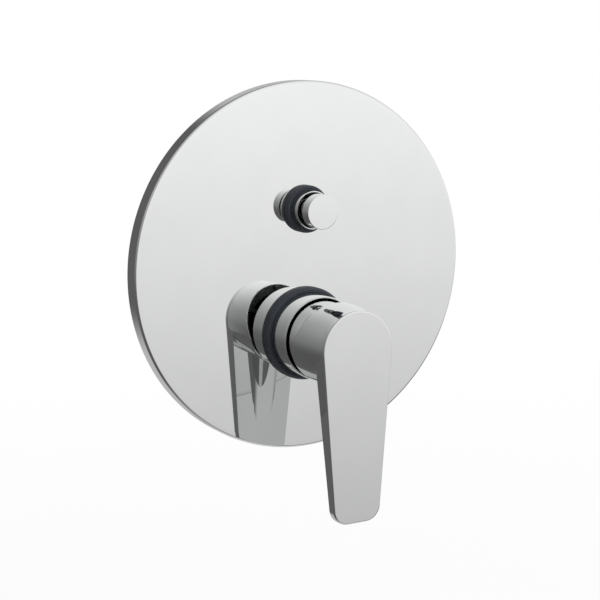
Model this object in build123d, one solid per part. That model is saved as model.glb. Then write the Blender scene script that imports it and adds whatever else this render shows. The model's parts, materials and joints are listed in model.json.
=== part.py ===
from build123d import *
import math
import os

# Concealed shower mixer: cover plate, lever with its cartridge, push diverter and the body in the wall.
# The origin is the middle of the plate in the plane of the wall. +Y goes into the wall, +Z is up.
# Places along the depth are given as distances in front of the wall, so pieces in the wall are negative.

# Clearances, radial or between faces
PUSH_FIT = 0.05
RUNNING_CLEARANCE = 0.05
SLEEVE_CLEARANCE = 0.2
FREE_CLEARANCE = 0.35

# How far a cutting shape reaches past the face it opens, and how near two places count as one
OVERCUT = 1.0
SAME_PLACE = 0.01

# Cover plate and its foam seal
PLATE_RADIUS = 95.0
PLATE_DEPTH = 9.0
PLATE_WALL = 1.4
PLATE_EDGE_RADIUS = 1.2
PLATE_SEAL_WIDTH = 6.0

# Places of the two controls on the plate
LEVER_DROP = 34.6
DIVERTER_RISE = 29.9

# Rubber gaskets in the plate's holes
GASKET_NECK = 1.3
GASKET_LIP_WIDTH = 2.4
GASKET_LIP_THICKNESS = 1.6
LEVER_GASKET_WIDTH = 2.7
LEVER_GASKET_HEIGHT = 3.5
LEVER_GASKET_ROUND = 1.8
DIVERTER_GASKET_WIDTH = 1.9
DIVERTER_GASKET_HEIGHT = 3.5
DIVERTER_GASKET_ROUND = 1.2

# Rubber rings of round section
RING_SECTION = 1.6
RING_GROOVE_WIDTH = 2.0

# Lever sleeve
LEVER_SLEEVE_RADIUS = 21.5
LEVER_SLEEVE_WALL = 0.9
LEVER_SLEEVE_PROUD = 17.1
SLEEVE_EDGE_RADIUS = 0.4

# Lever movement
PIVOT_PROUD = 16.4
LIFT_ANGLE = 25.0

# Dome ring between sleeve and hub, round about the pivot
DOME_RADIUS = 19.6
DOME_WALL = 1.3
DOME_OPENING_RADIUS = 13.0

# Lever handle
LEVER_FRONT_PROUD = 52.3
LEVER_LENGTH = 87.3
LEVER_THICKNESS = 3.0
LEVER_ROOT_THICKNESS = 8.6
LEVER_TIP_THICKNESS = 4.3
LEVER_EDGE_RADIUS = 0.8
LEVER_TIP_CORNER_RADIUS = 8.0
LEVER_TIP_FLAT = 10.9
LEVER_RIB_DEPTH = 11.0
LEVER_RIB_INSET = 3.4
LEVER_RIB_END_GAP = 7.0
LEVER_RIB_END_DEPTH = 0.8
LEVER_RIB_END_HALF_WIDTH = 7.0
HUB_REAR_RADIUS = 21.0
HUB_FRONT_RADIUS = 19.8
HUB_BARREL_BULGE = 0.37
HUB_RIM_PROUD = 21.8
HUB_RIM_AXIS_PROUD = 24.0
HUB_RIM_SLANT = 22.2
HUB_WIDE_CAVITY_PROUD = 31.0
HUB_INNER_CAVITY_RADIUS = 16.3
HUB_FRONT_WALL = 4.0
HUB_BOSS_RADIUS = 9.0
HUB_RIB_COUNT = 6
HUB_RIB_THICKNESS = 2.0
HUB_RIB_REAR_PROUD = 29.0

# Stem and its pin
STEM_WIDTH = 8.0
STEM_PIN_RADIUS = 2.0
STEM_BLOCK_BELOW_PIVOT = 4.5
STEM_LOWER_ARM = 9.4
STEM_ARM_RADIUS = 1.7
STEM_BALL_RADIUS = 2.2
STEM_SOCKET_COVER = 11.0

# Handle screw and plug
HANDLE_SCREW_RADIUS = 2.5
HANDLE_SCREW_KEY = 2.5
HANDLE_SCREW_KEY_DEPTH = 2.0
HANDLE_SCREW_INSET = 3.6
SCREW_PLUG_RADIUS = 3.0
SCREW_PLUG_LENGTH = 2.2

# Cartridge
HOUSING_RADIUS = 15.4
HOUSING_WALL = 1.6
HOUSING_FLANGE_RADIUS = 17.4
HOUSING_FLANGE_HEIGHT = 4.0
HOUSING_ABOVE_PIVOT = 5.6
HOUSING_TOP_WALL = 2.0
TURRET_NECK_RADIUS = 10.7
TURRET_NECK_HEIGHT = 2.0
CARRIER_RADIUS = 11.0
CARRIER_HALF_WIDTH = 9.0
CARRIER_HEIGHT = 4.4
CARRIER_ABOVE_BALL = 1.0
CARRIER_FLOOR = 0.9
TURRET_ABOVE_CARRIER = 0.8
DISC_THICKNESS = 3.5
MIXING_POCKET_RADIUS = 4.0
MIXING_POCKET_SPAN = 9.0
MIXING_POCKET_DEPTH = 2.0
BASE_HEIGHT = 9.5
PORT_RADIUS = 2.8
INLET_PORT_X = 6.5
INLET_PORT_Z = -4.5
MIXED_PORT_Z = 7.0
PORT_SEAL_RADIUS = 4.0

# Cartridge nut
NUT_RADIUS = 17.95
NUT_COLLAR_RADIUS = 17.3
NUT_COLLAR_HEIGHT = 4.5
NUT_THREAD_LENGTH = 8.5
NUT_SLOT_COUNT = 6
NUT_SLOT_WIDTH = 4.0
NUT_SLOT_DEPTH = 2.5

# Diverter in front of the wall
BUTTON_RADIUS = 8.85
BUTTON_FRONT_PROUD = 18.1
BUTTON_HEAD_LENGTH = 6.0
BUTTON_EDGE_RADIUS = 0.4
BUTTON_NECK_RADIUS = 6.3
BUTTON_NECK_LENGTH = 1.2
BUTTON_TRAVEL = 7.0
DIVERTER_SLEEVE_RADIUS = 9.8
DIVERTER_SLEEVE_WALL = 0.7
DIVERTER_SLEEVE_PROUD = 8.7

# Diverter in the wall
DIVERTER_FACE_DEPTH = 5.0
DIVERTER_FLANGE_RADIUS = 12.5
DIVERTER_FLANGE_HEIGHT = 3.0
DIVERTER_BORE_RADIUS = 9.0
DIVERTER_GUIDE_LENGTH = 9.0
DIVERTER_THREAD_LENGTH = 18.0
DIVERTER_GALLERY_RADIUS = 6.2
DIVERTER_WAIST_RADIUS = 7.4
DIVERTER_WAIST_LENGTH = 7.0
DIVERTER_WINDOW_RADIUS = 2.5
SEAT_LAND_LENGTH = 2.0
SPINDLE_RADIUS = 4.0
SPINDLE_NOSE_RADIUS = 3.0
SPINDLE_NOSE_SPARE = 1.5
PISTON_RADIUS = 8.4
PISTON_THICKNESS = 2.0
PISTON_SEAL_RADIUS = 8.2
PISTON_SEAL_THICKNESS = 2.0
CLIP_RADIUS = 5.0
CLIP_THICKNESS = 1.0
SPRING_MEAN_RADIUS = 5.2
SPRING_WIRE_RADIUS = 0.4
SPRING_COILS = 6
SPRING_CAVITY_RADIUS = 6.2
SPRING_SEAT_ABOVE_FLANGE = 1.0

# Valve body
BODY_SHOULDER_DEPTH = 12.0
BODY_BARREL_RADIUS = 24.0
BODY_BARREL_REAR = 36.0
BODY_BACK_DEPTH = 50.0
BODY_SPINE_HALF_WIDTH = 12.0
BODY_SPINE_FRONT = 16.0
PORT_DEPTH = 27.0
PORT_BOSS_RADIUS = 14.0
PORT_THREAD_RADIUS = 9.3
PORT_THREAD_LENGTH = 15.0
INLET_REACH = 50.0
SHOWER_REACH = 76.0
BATH_REACH = 81.6
PASSAGE_RADIUS = 4.0
INLET_PASSAGE_RADIUS = 5.0
BATH_PASSAGE_DEPTH = 41.5
BATH_GALLERY_RADIUS = 5.0
PASSAGE_END_GAP = 0.6
DIVERTER_BOSS_RADIUS = 15.0
REAR_SEAT_RADIUS = 6.5
REAR_SEAT_DEPTH = 37.0
REAR_CHAMBER_DEPTH = 46.0
LUG_HALF_SPAN = 33.0
LUG_HOLE_RADIUS = 2.75
LUG_RADIUS = 8.0
LUG_THICKNESS = 8.0

# Worked out: places of the control axes and, in front of the wall, of what sets the handle
LEVER_Z = -LEVER_DROP
DIVERTER_Z = DIVERTER_RISE
PIVOT = PLATE_DEPTH + PIVOT_PROUD
LEVER_FRONT = PLATE_DEPTH + LEVER_FRONT_PROUD
LEVER_BACK = LEVER_FRONT - LEVER_THICKNESS
LEVER_SLEEVE_BORE = LEVER_SLEEVE_RADIUS - LEVER_SLEEVE_WALL
LEVER_SLEEVE_FRONT = PLATE_DEPTH + LEVER_SLEEVE_PROUD
NECK_RADIUS = LEVER_SLEEVE_BORE - SLEEVE_CLEARANCE
HUB_CAVITY_RADIUS = DOME_RADIUS + FREE_CLEARANCE
HUB_CAVITY_FRONT = LEVER_FRONT - HUB_FRONT_WALL
HUB_BOSS_REAR = HUB_CAVITY_FRONT - STEM_SOCKET_COVER
STEM_FRONT = HUB_CAVITY_FRONT - FREE_CLEARANCE
HANDLE_SCREW_PLACE = HUB_BOSS_REAR + HANDLE_SCREW_INSET
HANDLE_SCREW_LENGTH = HUB_BOSS_RADIUS - STEM_WIDTH / 2 - PUSH_FIT

# Worked out: the cartridge's stack, from the pivot back to its seat in the body
STEM_BALL = PIVOT - STEM_LOWER_ARM
CARRIER_TOP = STEM_BALL + CARRIER_ABOVE_BALL
CARRIER_REAR = CARRIER_TOP - CARRIER_HEIGHT
MOVING_DISC_TOP = CARRIER_REAR
MOVING_DISC_REAR = MOVING_DISC_TOP - DISC_THICKNESS
FIXED_DISC_TOP = MOVING_DISC_REAR - RUNNING_CLEARANCE
BASE_TOP = FIXED_DISC_TOP - DISC_THICKNESS
SEAT = BASE_TOP - BASE_HEIGHT
FLANGE_TOP = BASE_TOP + HOUSING_FLANGE_HEIGHT
HOUSING_TOP = PIVOT + HOUSING_ABOVE_PIVOT
HOUSING_BORE = HOUSING_RADIUS - HOUSING_WALL
TURRET_RADIUS = HOUSING_BORE - RUNNING_CLEARANCE
TURRET_TOP = HOUSING_TOP - HOUSING_TOP_WALL - RUNNING_CLEARANCE
TURRET_FLOOR = CARRIER_TOP + TURRET_ABOVE_CARRIER
DISC_TRAVEL = STEM_LOWER_ARM * math.radians(LIFT_ANGLE)
DISC_REST_Z = LEVER_Z + DISC_TRAVEL / 2
NECK_BORE = NUT_RADIUS + PUSH_FIT
NECK_FRONT = FLANGE_TOP + NUT_THREAD_LENGTH

# Worked out: the diverter's stack
BUTTON_FRONT = PLATE_DEPTH + BUTTON_FRONT_PROUD
BUTTON_HEAD_REAR = BUTTON_FRONT - BUTTON_HEAD_LENGTH
BUTTON_REAR = BUTTON_HEAD_REAR - BUTTON_NECK_LENGTH
DIVERTER_SLEEVE_BORE = DIVERTER_SLEEVE_RADIUS - DIVERTER_SLEEVE_WALL
DIVERTER_SLEEVE_FRONT = PLATE_DEPTH + DIVERTER_SLEEVE_PROUD
DIVERTER_TUBE_FRONT = BUTTON_REAR - BUTTON_TRAVEL - FREE_CLEARANCE
DIVERTER_TUBE_RADIUS = DIVERTER_SLEEVE_BORE - PUSH_FIT
DIVERTER_FACE = -DIVERTER_FACE_DEPTH
DIVERTER_FLANGE_FRONT = DIVERTER_FACE + DIVERTER_FLANGE_HEIGHT
DIVERTER_REAR = DIVERTER_FACE - DIVERTER_THREAD_LENGTH
DIVERTER_GUIDE_FRONT = DIVERTER_FLANGE_FRONT + SPRING_SEAT_ABOVE_FLANGE
DIVERTER_GUIDE_REAR = DIVERTER_GUIDE_FRONT - DIVERTER_GUIDE_LENGTH
WINDOW_PLACE = DIVERTER_REAR + SEAT_LAND_LENGTH + DIVERTER_WAIST_LENGTH / 2
PISTON_STACK_FRONT = DIVERTER_REAR - FREE_CLEARANCE
PISTON_FRONT = PISTON_STACK_FRONT - PISTON_SEAL_THICKNESS
PISTON_REAR = PISTON_FRONT - PISTON_THICKNESS
PISTON_STACK_REAR = PISTON_REAR - PISTON_SEAL_THICKNESS


def face_of(points):
    """Flat profile through (radius, distance in front of the wall) points."""
    return make_face(Polyline(*[(radius, -forward) for radius, forward in points], close=True))


def turned(points, axis_z):
    """Solid of revolution about a control's axis, from its half profile."""
    return Pos(0, 0, axis_z) * revolve(face_of(points), Axis.Y)


def tube(inner, outer, rear, front, axis_z):
    return turned([(inner, rear), (outer, rear), (outer, front), (inner, front)], axis_z)


def rod(radius, rear, front, axis_z, x=0.0):
    """Round bar along the depth."""
    return Pos(x, -(rear + front) / 2, axis_z) * Rot(90, 0, 0) * Cylinder(radius, front - rear)


def bar_x(radius, start, end, forward, z):
    """Round bar across the wall, from x start to x end."""
    return Pos((start + end) / 2, -forward, z) * Rot(0, 90, 0) * Cylinder(radius, abs(end - start))


def bar_z(radius, start, end, forward, x=0.0):
    """Round bar up the wall, from z start to z end."""
    return Pos(x, -forward, (start + end) / 2) * Cylinder(radius, abs(end - start))


def block(width, rear, front, bottom, top, x=0.0):
    """Box from its width, its depth range and its height range."""
    middle = Pos(x, -(rear + front) / 2, (bottom + top) / 2)
    return middle * Box(width, front - rear, top - bottom)


def rubber_ring(inner_radius, forward, axis_z, x=0.0):
    """Ring of round section, lying in its groove."""
    centre_radius = inner_radius + RING_SECTION / 2
    return Pos(x, -forward, axis_z) * Rot(90, 0, 0) * Torus(centre_radius, RING_SECTION / 2)


def outer_groove(bore_radius):
    """Floor radius of a groove cut in a shaft for a ring that seals in a bore."""
    return bore_radius - RING_SECTION - 2 * PUSH_FIT


def groove_cut(floor, outside, forward, axis_z):
    half = RING_GROOVE_WIDTH / 2
    return tube(floor, outside, forward - half, forward + half, axis_z)


def round_edges(part, radius, forward):
    """Rounds the circles that lie at one distance in front of the wall."""
    edges = part.edges().filter_by(GeomType.CIRCLE)
    return fillet([edge for edge in edges if abs(edge.center().Y + forward) < SAME_PLACE], radius)


def gasket(sleeve_radius, width, height, rounding, axis_z):
    """Rubber bush: front flange, neck in the plate's hole and a lip behind the plate."""
    inner = sleeve_radius + PUSH_FIT
    outer = sleeve_radius + width
    neck = sleeve_radius + GASKET_NECK
    lip = sleeve_radius + GASKET_LIP_WIDTH
    back = PLATE_DEPTH - PLATE_WALL
    front = PLATE_DEPTH + height
    profile = [
        (inner, back - GASKET_LIP_THICKNESS),
        (lip, back - GASKET_LIP_THICKNESS),
        (lip, back),
        (neck, back),
        (neck, PLATE_DEPTH),
        (outer, PLATE_DEPTH),
        (outer, front),
        (inner, front),
    ]
    bush = turned(profile, axis_z)
    rim = [edge for edge in bush.edges().filter_by(GeomType.CIRCLE)
           if abs(edge.center().Y + front) < SAME_PLACE and abs(edge.radius - outer) < SAME_PLACE]
    return fillet(rim, rounding)


def plate_hole(sleeve_radius):
    return sleeve_radius + GASKET_NECK + PUSH_FIT


def cover_plate():
    back = PLATE_DEPTH - PLATE_WALL
    inner = PLATE_RADIUS - PLATE_WALL
    dish = rod(PLATE_RADIUS, 0, PLATE_DEPTH, 0)
    dish = round_edges(dish, PLATE_EDGE_RADIUS, PLATE_DEPTH)
    dish -= rod(inner, -OVERCUT, back, 0)
    dish -= rod(plate_hole(LEVER_SLEEVE_RADIUS), 0, PLATE_DEPTH + OVERCUT, LEVER_Z)
    dish -= rod(plate_hole(DIVERTER_SLEEVE_RADIUS), 0, PLATE_DEPTH + OVERCUT, DIVERTER_Z)
    return dish


def plate_seal():
    outer = PLATE_RADIUS - PLATE_WALL - FREE_CLEARANCE
    return tube(outer - PLATE_SEAL_WIDTH, outer, 0, PLATE_DEPTH - PLATE_WALL, 0)


def lever_gasket():
    return gasket(LEVER_SLEEVE_RADIUS, LEVER_GASKET_WIDTH, LEVER_GASKET_HEIGHT, LEVER_GASKET_ROUND, LEVER_Z)


def lever_sleeve():
    pipe = tube(LEVER_SLEEVE_BORE, LEVER_SLEEVE_RADIUS, -BODY_SHOULDER_DEPTH, LEVER_SLEEVE_FRONT, LEVER_Z)
    return round_edges(pipe, SLEEVE_EDGE_RADIUS, LEVER_SLEEVE_FRONT)


def lever_sleeve_ring_place():
    return (SEAT - BODY_SHOULDER_DEPTH) / 2


def lever_sleeve_ring():
    inner = outer_groove(LEVER_SLEEVE_BORE) + PUSH_FIT
    return rubber_ring(inner, lever_sleeve_ring_place(), LEVER_Z)


def dome_ring():
    """Ring with a spherical front that stays under the hub at every angle."""
    skirt_bore = NUT_COLLAR_RADIUS + PUSH_FIT
    inner_radius = DOME_RADIUS - DOME_WALL
    ball = Pos(0, -PIVOT, LEVER_Z) * Sphere(DOME_RADIUS)
    ball += rod(DOME_RADIUS, NECK_FRONT, PIVOT, LEVER_Z)
    ball &= rod(2 * DOME_RADIUS, NECK_FRONT, PIVOT + DOME_RADIUS, LEVER_Z)
    hollow = Pos(0, -PIVOT, LEVER_Z) * Sphere(inner_radius)
    hollow &= rod(2 * DOME_RADIUS, PIVOT, PIVOT + DOME_RADIUS, LEVER_Z)
    ball -= hollow
    ball -= rod(skirt_bore, NECK_FRONT - OVERCUT, PIVOT, LEVER_Z)
    return ball - rod(DOME_OPENING_RADIUS, PIVOT, PIVOT + 2 * DOME_RADIUS, LEVER_Z)


def lever_outline():
    """Front outline of the lever: round head, straight sides and a flat tip with round corners."""
    tip_x = LEVER_TIP_FLAT / 2
    tip_z = -LEVER_LENGTH + LEVER_TIP_CORNER_RADIUS
    circles = Circle(HUB_FRONT_RADIUS).edges()
    circles += (Pos(tip_x, tip_z) * Circle(LEVER_TIP_CORNER_RADIUS)).edges()
    circles += (Pos(-tip_x, tip_z) * Circle(LEVER_TIP_CORNER_RADIUS)).edges()
    return make_hull(circles)


def lever_face():
    """Lever with a flat front, rounded along its front edge, and thinner towards its tip."""
    root = LEVER_FRONT - LEVER_ROOT_THICKNESS
    plane = Plane(origin=(0, -root, LEVER_Z), x_dir=(1, 0, 0), z_dir=(0, -1, 0))
    thick = extrude(plane * lever_outline(), LEVER_ROOT_THICKNESS)
    front_face = thick.faces().sort_by(Axis.Y)[0]
    thick = fillet(front_face.edges(), LEVER_EDGE_RADIUS)
    slope = math.degrees(math.atan2(LEVER_ROOT_THICKNESS - LEVER_TIP_THICKNESS, LEVER_LENGTH))
    reach = 2 * LEVER_LENGTH
    knife = Pos(0, reach / 2, 0) * Box(reach, reach, 2 * reach)
    return thick - Pos(0, -root, LEVER_Z) * Rot(-slope, 0, 0) * knife


def rib_section(z, half_width, depth):
    """Cross section of the rib behind the lever: flat front, convex back."""
    buried = LEVER_BACK + LEVER_THICKNESS / 2
    left = (-half_width, -buried, z)
    right = (half_width, -buried, z)
    back = (0, -(LEVER_BACK - depth), z)
    return make_face(Edge.make_line(left, right) + ThreePointArc(right, back, left))


def lever_rib():
    tip = LEVER_Z - LEVER_LENGTH + LEVER_RIB_END_GAP
    wide = rib_section(LEVER_Z, HUB_FRONT_RADIUS - LEVER_RIB_INSET, LEVER_RIB_DEPTH)
    narrow = rib_section(tip, LEVER_RIB_END_HALF_WIDTH, LEVER_RIB_END_DEPTH)
    return loft([wide, narrow], ruled=True)


def hub_barrel():
    """Hub's outside, a slightly bulged barrel with a rim that is cut back at the top."""
    rear = PLATE_DEPTH + HUB_RIM_PROUD
    middle_radius = (HUB_REAR_RADIUS + HUB_FRONT_RADIUS) / 2 + HUB_BARREL_BULGE
    side = ThreePointArc(
        (HUB_REAR_RADIUS, -rear),
        (middle_radius, -(rear + LEVER_BACK) / 2),
        (HUB_FRONT_RADIUS, -LEVER_BACK),
    )
    ends = Polyline((HUB_FRONT_RADIUS, -LEVER_BACK), (0, -LEVER_BACK), (0, -rear), (HUB_REAR_RADIUS, -rear))
    barrel = Pos(0, 0, LEVER_Z) * revolve(make_face(side + ends), Axis.Y)
    reach = 4 * HUB_REAR_RADIUS
    knife = Pos(0, reach / 2, 0) * Box(reach, reach, reach)
    rim = PLATE_DEPTH + HUB_RIM_AXIS_PROUD
    return barrel - Pos(0, -rim, LEVER_Z) * Rot(HUB_RIM_SLANT, 0, 0) * knife


def hub_ribs():
    """Straight walls between the boss and the inside of the hub, hollowed to clear the dome."""
    rear = PLATE_DEPTH + HUB_RIB_REAR_PROUD
    web = Box(2 * HUB_REAR_RADIUS, HUB_RIB_THICKNESS, HUB_CAVITY_FRONT - rear)
    middle = Pos(0, -(HUB_CAVITY_FRONT + rear) / 2, LEVER_Z) * Rot(90, 0, 0)
    half_turn = 180.0
    webs = [middle * Rot(0, 0, (i + 0.5) * half_turn / (HUB_RIB_COUNT / 2)) * web
            for i in range(HUB_RIB_COUNT // 2)]
    clear_ball = Pos(0, -PIVOT, LEVER_Z) * Sphere(HUB_CAVITY_RADIUS)
    return ((webs[0] + webs[1:]) & hub_barrel()) - clear_ball


def lever_handle():
    """One casting: lever, hollow hub, boss with a square socket and ribs."""
    shell = hub_barrel() + lever_rib() + lever_face()
    rear = PLATE_DEPTH
    shell -= rod(HUB_CAVITY_RADIUS, rear, PLATE_DEPTH + HUB_WIDE_CAVITY_PROUD, LEVER_Z)
    shell -= rod(HUB_INNER_CAVITY_RADIUS, rear, HUB_CAVITY_FRONT, LEVER_Z)
    shell += rod(HUB_BOSS_RADIUS, HUB_BOSS_REAR, HUB_CAVITY_FRONT + PUSH_FIT, LEVER_Z)
    shell += hub_ribs()
    half = STEM_WIDTH / 2 + PUSH_FIT
    shell -= block(2 * half, rear, HUB_CAVITY_FRONT, LEVER_Z - half, LEVER_Z + half)
    shell -= bar_x(HANDLE_SCREW_RADIUS + PUSH_FIT, 0, HUB_BOSS_RADIUS + OVERCUT, HANDLE_SCREW_PLACE, LEVER_Z)
    plug_hole = bar_x(SCREW_PLUG_RADIUS + PUSH_FIT, HUB_BOSS_RADIUS, 2 * HUB_REAR_RADIUS,
                      HANDLE_SCREW_PLACE, LEVER_Z)
    return shell - plug_hole


def handle_screw():
    """Grub screw with a hexagon socket, its point on the stem."""
    start = STEM_WIDTH / 2 + PUSH_FIT
    screw = bar_x(HANDLE_SCREW_RADIUS, start, start + HANDLE_SCREW_LENGTH, HANDLE_SCREW_PLACE, LEVER_Z)
    key_plane = Plane(
        origin=(start + HANDLE_SCREW_LENGTH, -HANDLE_SCREW_PLACE, LEVER_Z),
        x_dir=(0, 1, 0),
        z_dir=(-1, 0, 0),
    )
    key = RegularPolygon(HANDLE_SCREW_KEY / 2, 6, major_radius=False)
    return screw - extrude(key_plane * key, HANDLE_SCREW_KEY_DEPTH)


def screw_plug():
    """Small plug in the hub's side, below the surface of the barrel."""
    end = HUB_FRONT_RADIUS
    return bar_x(SCREW_PLUG_RADIUS, end - SCREW_PLUG_LENGTH, end, HANDLE_SCREW_PLACE, LEVER_Z)


def stem():
    """Square stem with a bore for its pin and a ball that pushes the disc carrier."""
    half = STEM_WIDTH / 2
    bar = block(STEM_WIDTH, PIVOT - STEM_BLOCK_BELOW_PIVOT, STEM_FRONT, LEVER_Z - half, LEVER_Z + half)
    bar += rod(STEM_ARM_RADIUS, STEM_BALL, PIVOT - STEM_BLOCK_BELOW_PIVOT, LEVER_Z)
    bar += Pos(0, -STEM_BALL, LEVER_Z) * Sphere(STEM_BALL_RADIUS)
    return bar - bar_x(STEM_PIN_RADIUS + RUNNING_CLEARANCE, -STEM_WIDTH, STEM_WIDTH, PIVOT, LEVER_Z)


def stem_pin_half_length():
    return TURRET_RADIUS - 2 * FREE_CLEARANCE


def stem_pin():
    half = stem_pin_half_length()
    return bar_x(STEM_PIN_RADIUS, -half, half, PIVOT, LEVER_Z)


def stem_swing_slot():
    """Space that the stem sweeps inside the turret as the lever lifts."""
    angle = math.radians(LIFT_ANGLE)
    half = STEM_WIDTH / 2
    neck_top = HOUSING_TOP + TURRET_NECK_HEIGHT
    above = half / math.cos(angle) + (neck_top - PIVOT) * math.tan(angle) + FREE_CLEARANCE
    block_sweep = half * math.cos(angle) + STEM_BLOCK_BELOW_PIVOT * math.sin(angle)
    arm_sweep = STEM_LOWER_ARM * math.sin(angle) + STEM_BALL_RADIUS
    below = max(block_sweep, arm_sweep) + FREE_CLEARANCE
    width = STEM_WIDTH + 2 * FREE_CLEARANCE
    return block(width, STEM_BALL, neck_top + OVERCUT, LEVER_Z - below, LEVER_Z + above)


def turret_ring_place():
    return (TURRET_FLOOR + PIVOT - STEM_PIN_RADIUS) / 2


def turret():
    """Carrier that turns with the lever, with a channel below for the disc carrier."""
    drum = rod(TURRET_RADIUS, CARRIER_REAR + PUSH_FIT, TURRET_TOP, LEVER_Z)
    drum += rod(TURRET_NECK_RADIUS, TURRET_TOP, HOUSING_TOP + TURRET_NECK_HEIGHT, LEVER_Z)
    channel = 2 * (CARRIER_HALF_WIDTH + RUNNING_CLEARANCE)
    reach = 2 * TURRET_RADIUS
    drum -= block(channel, CARRIER_REAR, TURRET_FLOOR, LEVER_Z - reach, LEVER_Z + reach)
    drum -= stem_swing_slot()
    drum -= bar_x(STEM_PIN_RADIUS + PUSH_FIT / 2, -reach, reach, PIVOT, LEVER_Z)
    return drum - groove_cut(outer_groove(HOUSING_BORE), reach, turret_ring_place(), LEVER_Z)


def turret_ring():
    return rubber_ring(outer_groove(HOUSING_BORE) + PUSH_FIT, turret_ring_place(), LEVER_Z)


def disc_carrier():
    """Slider between stem and moving disc, with a pocket for the ball."""
    slider = rod(CARRIER_RADIUS, CARRIER_REAR, CARRIER_TOP, DISC_REST_Z)
    slider &= block(2 * CARRIER_HALF_WIDTH, CARRIER_REAR, CARRIER_TOP,
                    DISC_REST_Z - CARRIER_RADIUS, DISC_REST_Z + CARRIER_RADIUS)
    half = STEM_BALL_RADIUS + FREE_CLEARANCE
    floor = CARRIER_REAR + CARRIER_FLOOR
    return slider - block(2 * half, floor, CARRIER_TOP + OVERCUT, LEVER_Z - half, LEVER_Z + half)


def moving_disc():
    """Ceramic disc with a pocket that joins the ports it covers."""
    disc = rod(CARRIER_RADIUS, MOVING_DISC_REAR, MOVING_DISC_TOP, DISC_REST_Z)
    plane = Plane(origin=(0, -MOVING_DISC_REAR, DISC_REST_Z), x_dir=(1, 0, 0), z_dir=(0, -1, 0))
    pocket = SlotCenterToCenter(MIXING_POCKET_SPAN, 2 * MIXING_POCKET_RADIUS)
    return disc - extrude(plane * pocket, MIXING_POCKET_DEPTH)


def cartridge_ports(rear, front):
    """Hot, cold and mixed water holes, in line through disc, base and seat."""
    hot = rod(PORT_RADIUS, rear, front, LEVER_Z + INLET_PORT_Z, -INLET_PORT_X)
    cold = rod(PORT_RADIUS, rear, front, LEVER_Z + INLET_PORT_Z, INLET_PORT_X)
    mixed = rod(PORT_RADIUS, rear, front, LEVER_Z + MIXED_PORT_Z)
    return hot + cold + mixed


def fixed_disc():
    disc = rod(HOUSING_BORE - FREE_CLEARANCE, BASE_TOP, FIXED_DISC_TOP, LEVER_Z)
    return disc - cartridge_ports(BASE_TOP - OVERCUT, FIXED_DISC_TOP + OVERCUT)


def port_seal(x, z_offset):
    return rubber_ring(PORT_SEAL_RADIUS - RING_SECTION / 2, SEAT + RING_SECTION / 2, LEVER_Z + z_offset, x)


def port_seal_groove(x, z_offset):
    half = RING_SECTION / 2 + PUSH_FIT
    groove = tube(PORT_SEAL_RADIUS - half, PORT_SEAL_RADIUS + half, SEAT - OVERCUT,
                  SEAT + RING_SECTION + PUSH_FIT, LEVER_Z + z_offset)
    return Pos(x, 0, 0) * groove


def hot_port_seal():
    return port_seal(-INLET_PORT_X, INLET_PORT_Z)


def cold_port_seal():
    return port_seal(INLET_PORT_X, INLET_PORT_Z)


def mixed_port_seal():
    return port_seal(0, MIXED_PORT_Z)


def cartridge_base():
    """Foot of the cartridge, with its ports and a groove round each."""
    foot = rod(HOUSING_FLANGE_RADIUS, SEAT, BASE_TOP, LEVER_Z)
    foot -= cartridge_ports(SEAT - OVERCUT, BASE_TOP + OVERCUT)
    foot -= port_seal_groove(-INLET_PORT_X, INLET_PORT_Z)
    foot -= port_seal_groove(INLET_PORT_X, INLET_PORT_Z)
    return foot - port_seal_groove(0, MIXED_PORT_Z)


def cartridge_housing():
    opening = TURRET_NECK_RADIUS + RUNNING_CLEARANCE
    ceiling = HOUSING_TOP - HOUSING_TOP_WALL
    profile = [
        (HOUSING_BORE, BASE_TOP),
        (HOUSING_FLANGE_RADIUS, BASE_TOP),
        (HOUSING_FLANGE_RADIUS, FLANGE_TOP),
        (HOUSING_RADIUS, FLANGE_TOP),
        (HOUSING_RADIUS, HOUSING_TOP),
        (opening, HOUSING_TOP),
        (opening, ceiling),
        (HOUSING_BORE, ceiling),
    ]
    return turned(profile, LEVER_Z)


def cartridge_nut():
    """Threaded ring that holds the cartridge down, with key slots in its collar."""
    bore = HOUSING_RADIUS + SLEEVE_CLEARANCE
    top = NECK_FRONT + NUT_COLLAR_HEIGHT
    profile = [
        (bore, FLANGE_TOP),
        (NUT_RADIUS, FLANGE_TOP),
        (NUT_RADIUS, NECK_FRONT),
        (NUT_COLLAR_RADIUS, NECK_FRONT),
        (NUT_COLLAR_RADIUS, top),
        (bore, top),
    ]
    ring = turned(profile, LEVER_Z)
    reach = 2 * NUT_RADIUS
    slot = Pos(reach / 2, 0, 0) * Box(reach, NUT_SLOT_WIDTH, 2 * NUT_SLOT_DEPTH)
    seat = Pos(0, -top, LEVER_Z) * Rot(90, 0, 0)
    for i in range(NUT_SLOT_COUNT):
        ring -= seat * Rot(0, 0, i * 360.0 / NUT_SLOT_COUNT) * slot
    return ring


def diverter_gasket():
    return gasket(DIVERTER_SLEEVE_RADIUS, DIVERTER_GASKET_WIDTH, DIVERTER_GASKET_HEIGHT,
                  DIVERTER_GASKET_ROUND, DIVERTER_Z)


def diverter_sleeve():
    pipe = tube(DIVERTER_SLEEVE_BORE, DIVERTER_SLEEVE_RADIUS, DIVERTER_FLANGE_FRONT,
                DIVERTER_SLEEVE_FRONT, DIVERTER_Z)
    return round_edges(pipe, SLEEVE_EDGE_RADIUS / 2, DIVERTER_SLEEVE_FRONT)


def button_socket_front():
    return BUTTON_FRONT - BUTTON_HEAD_LENGTH / 2


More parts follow.
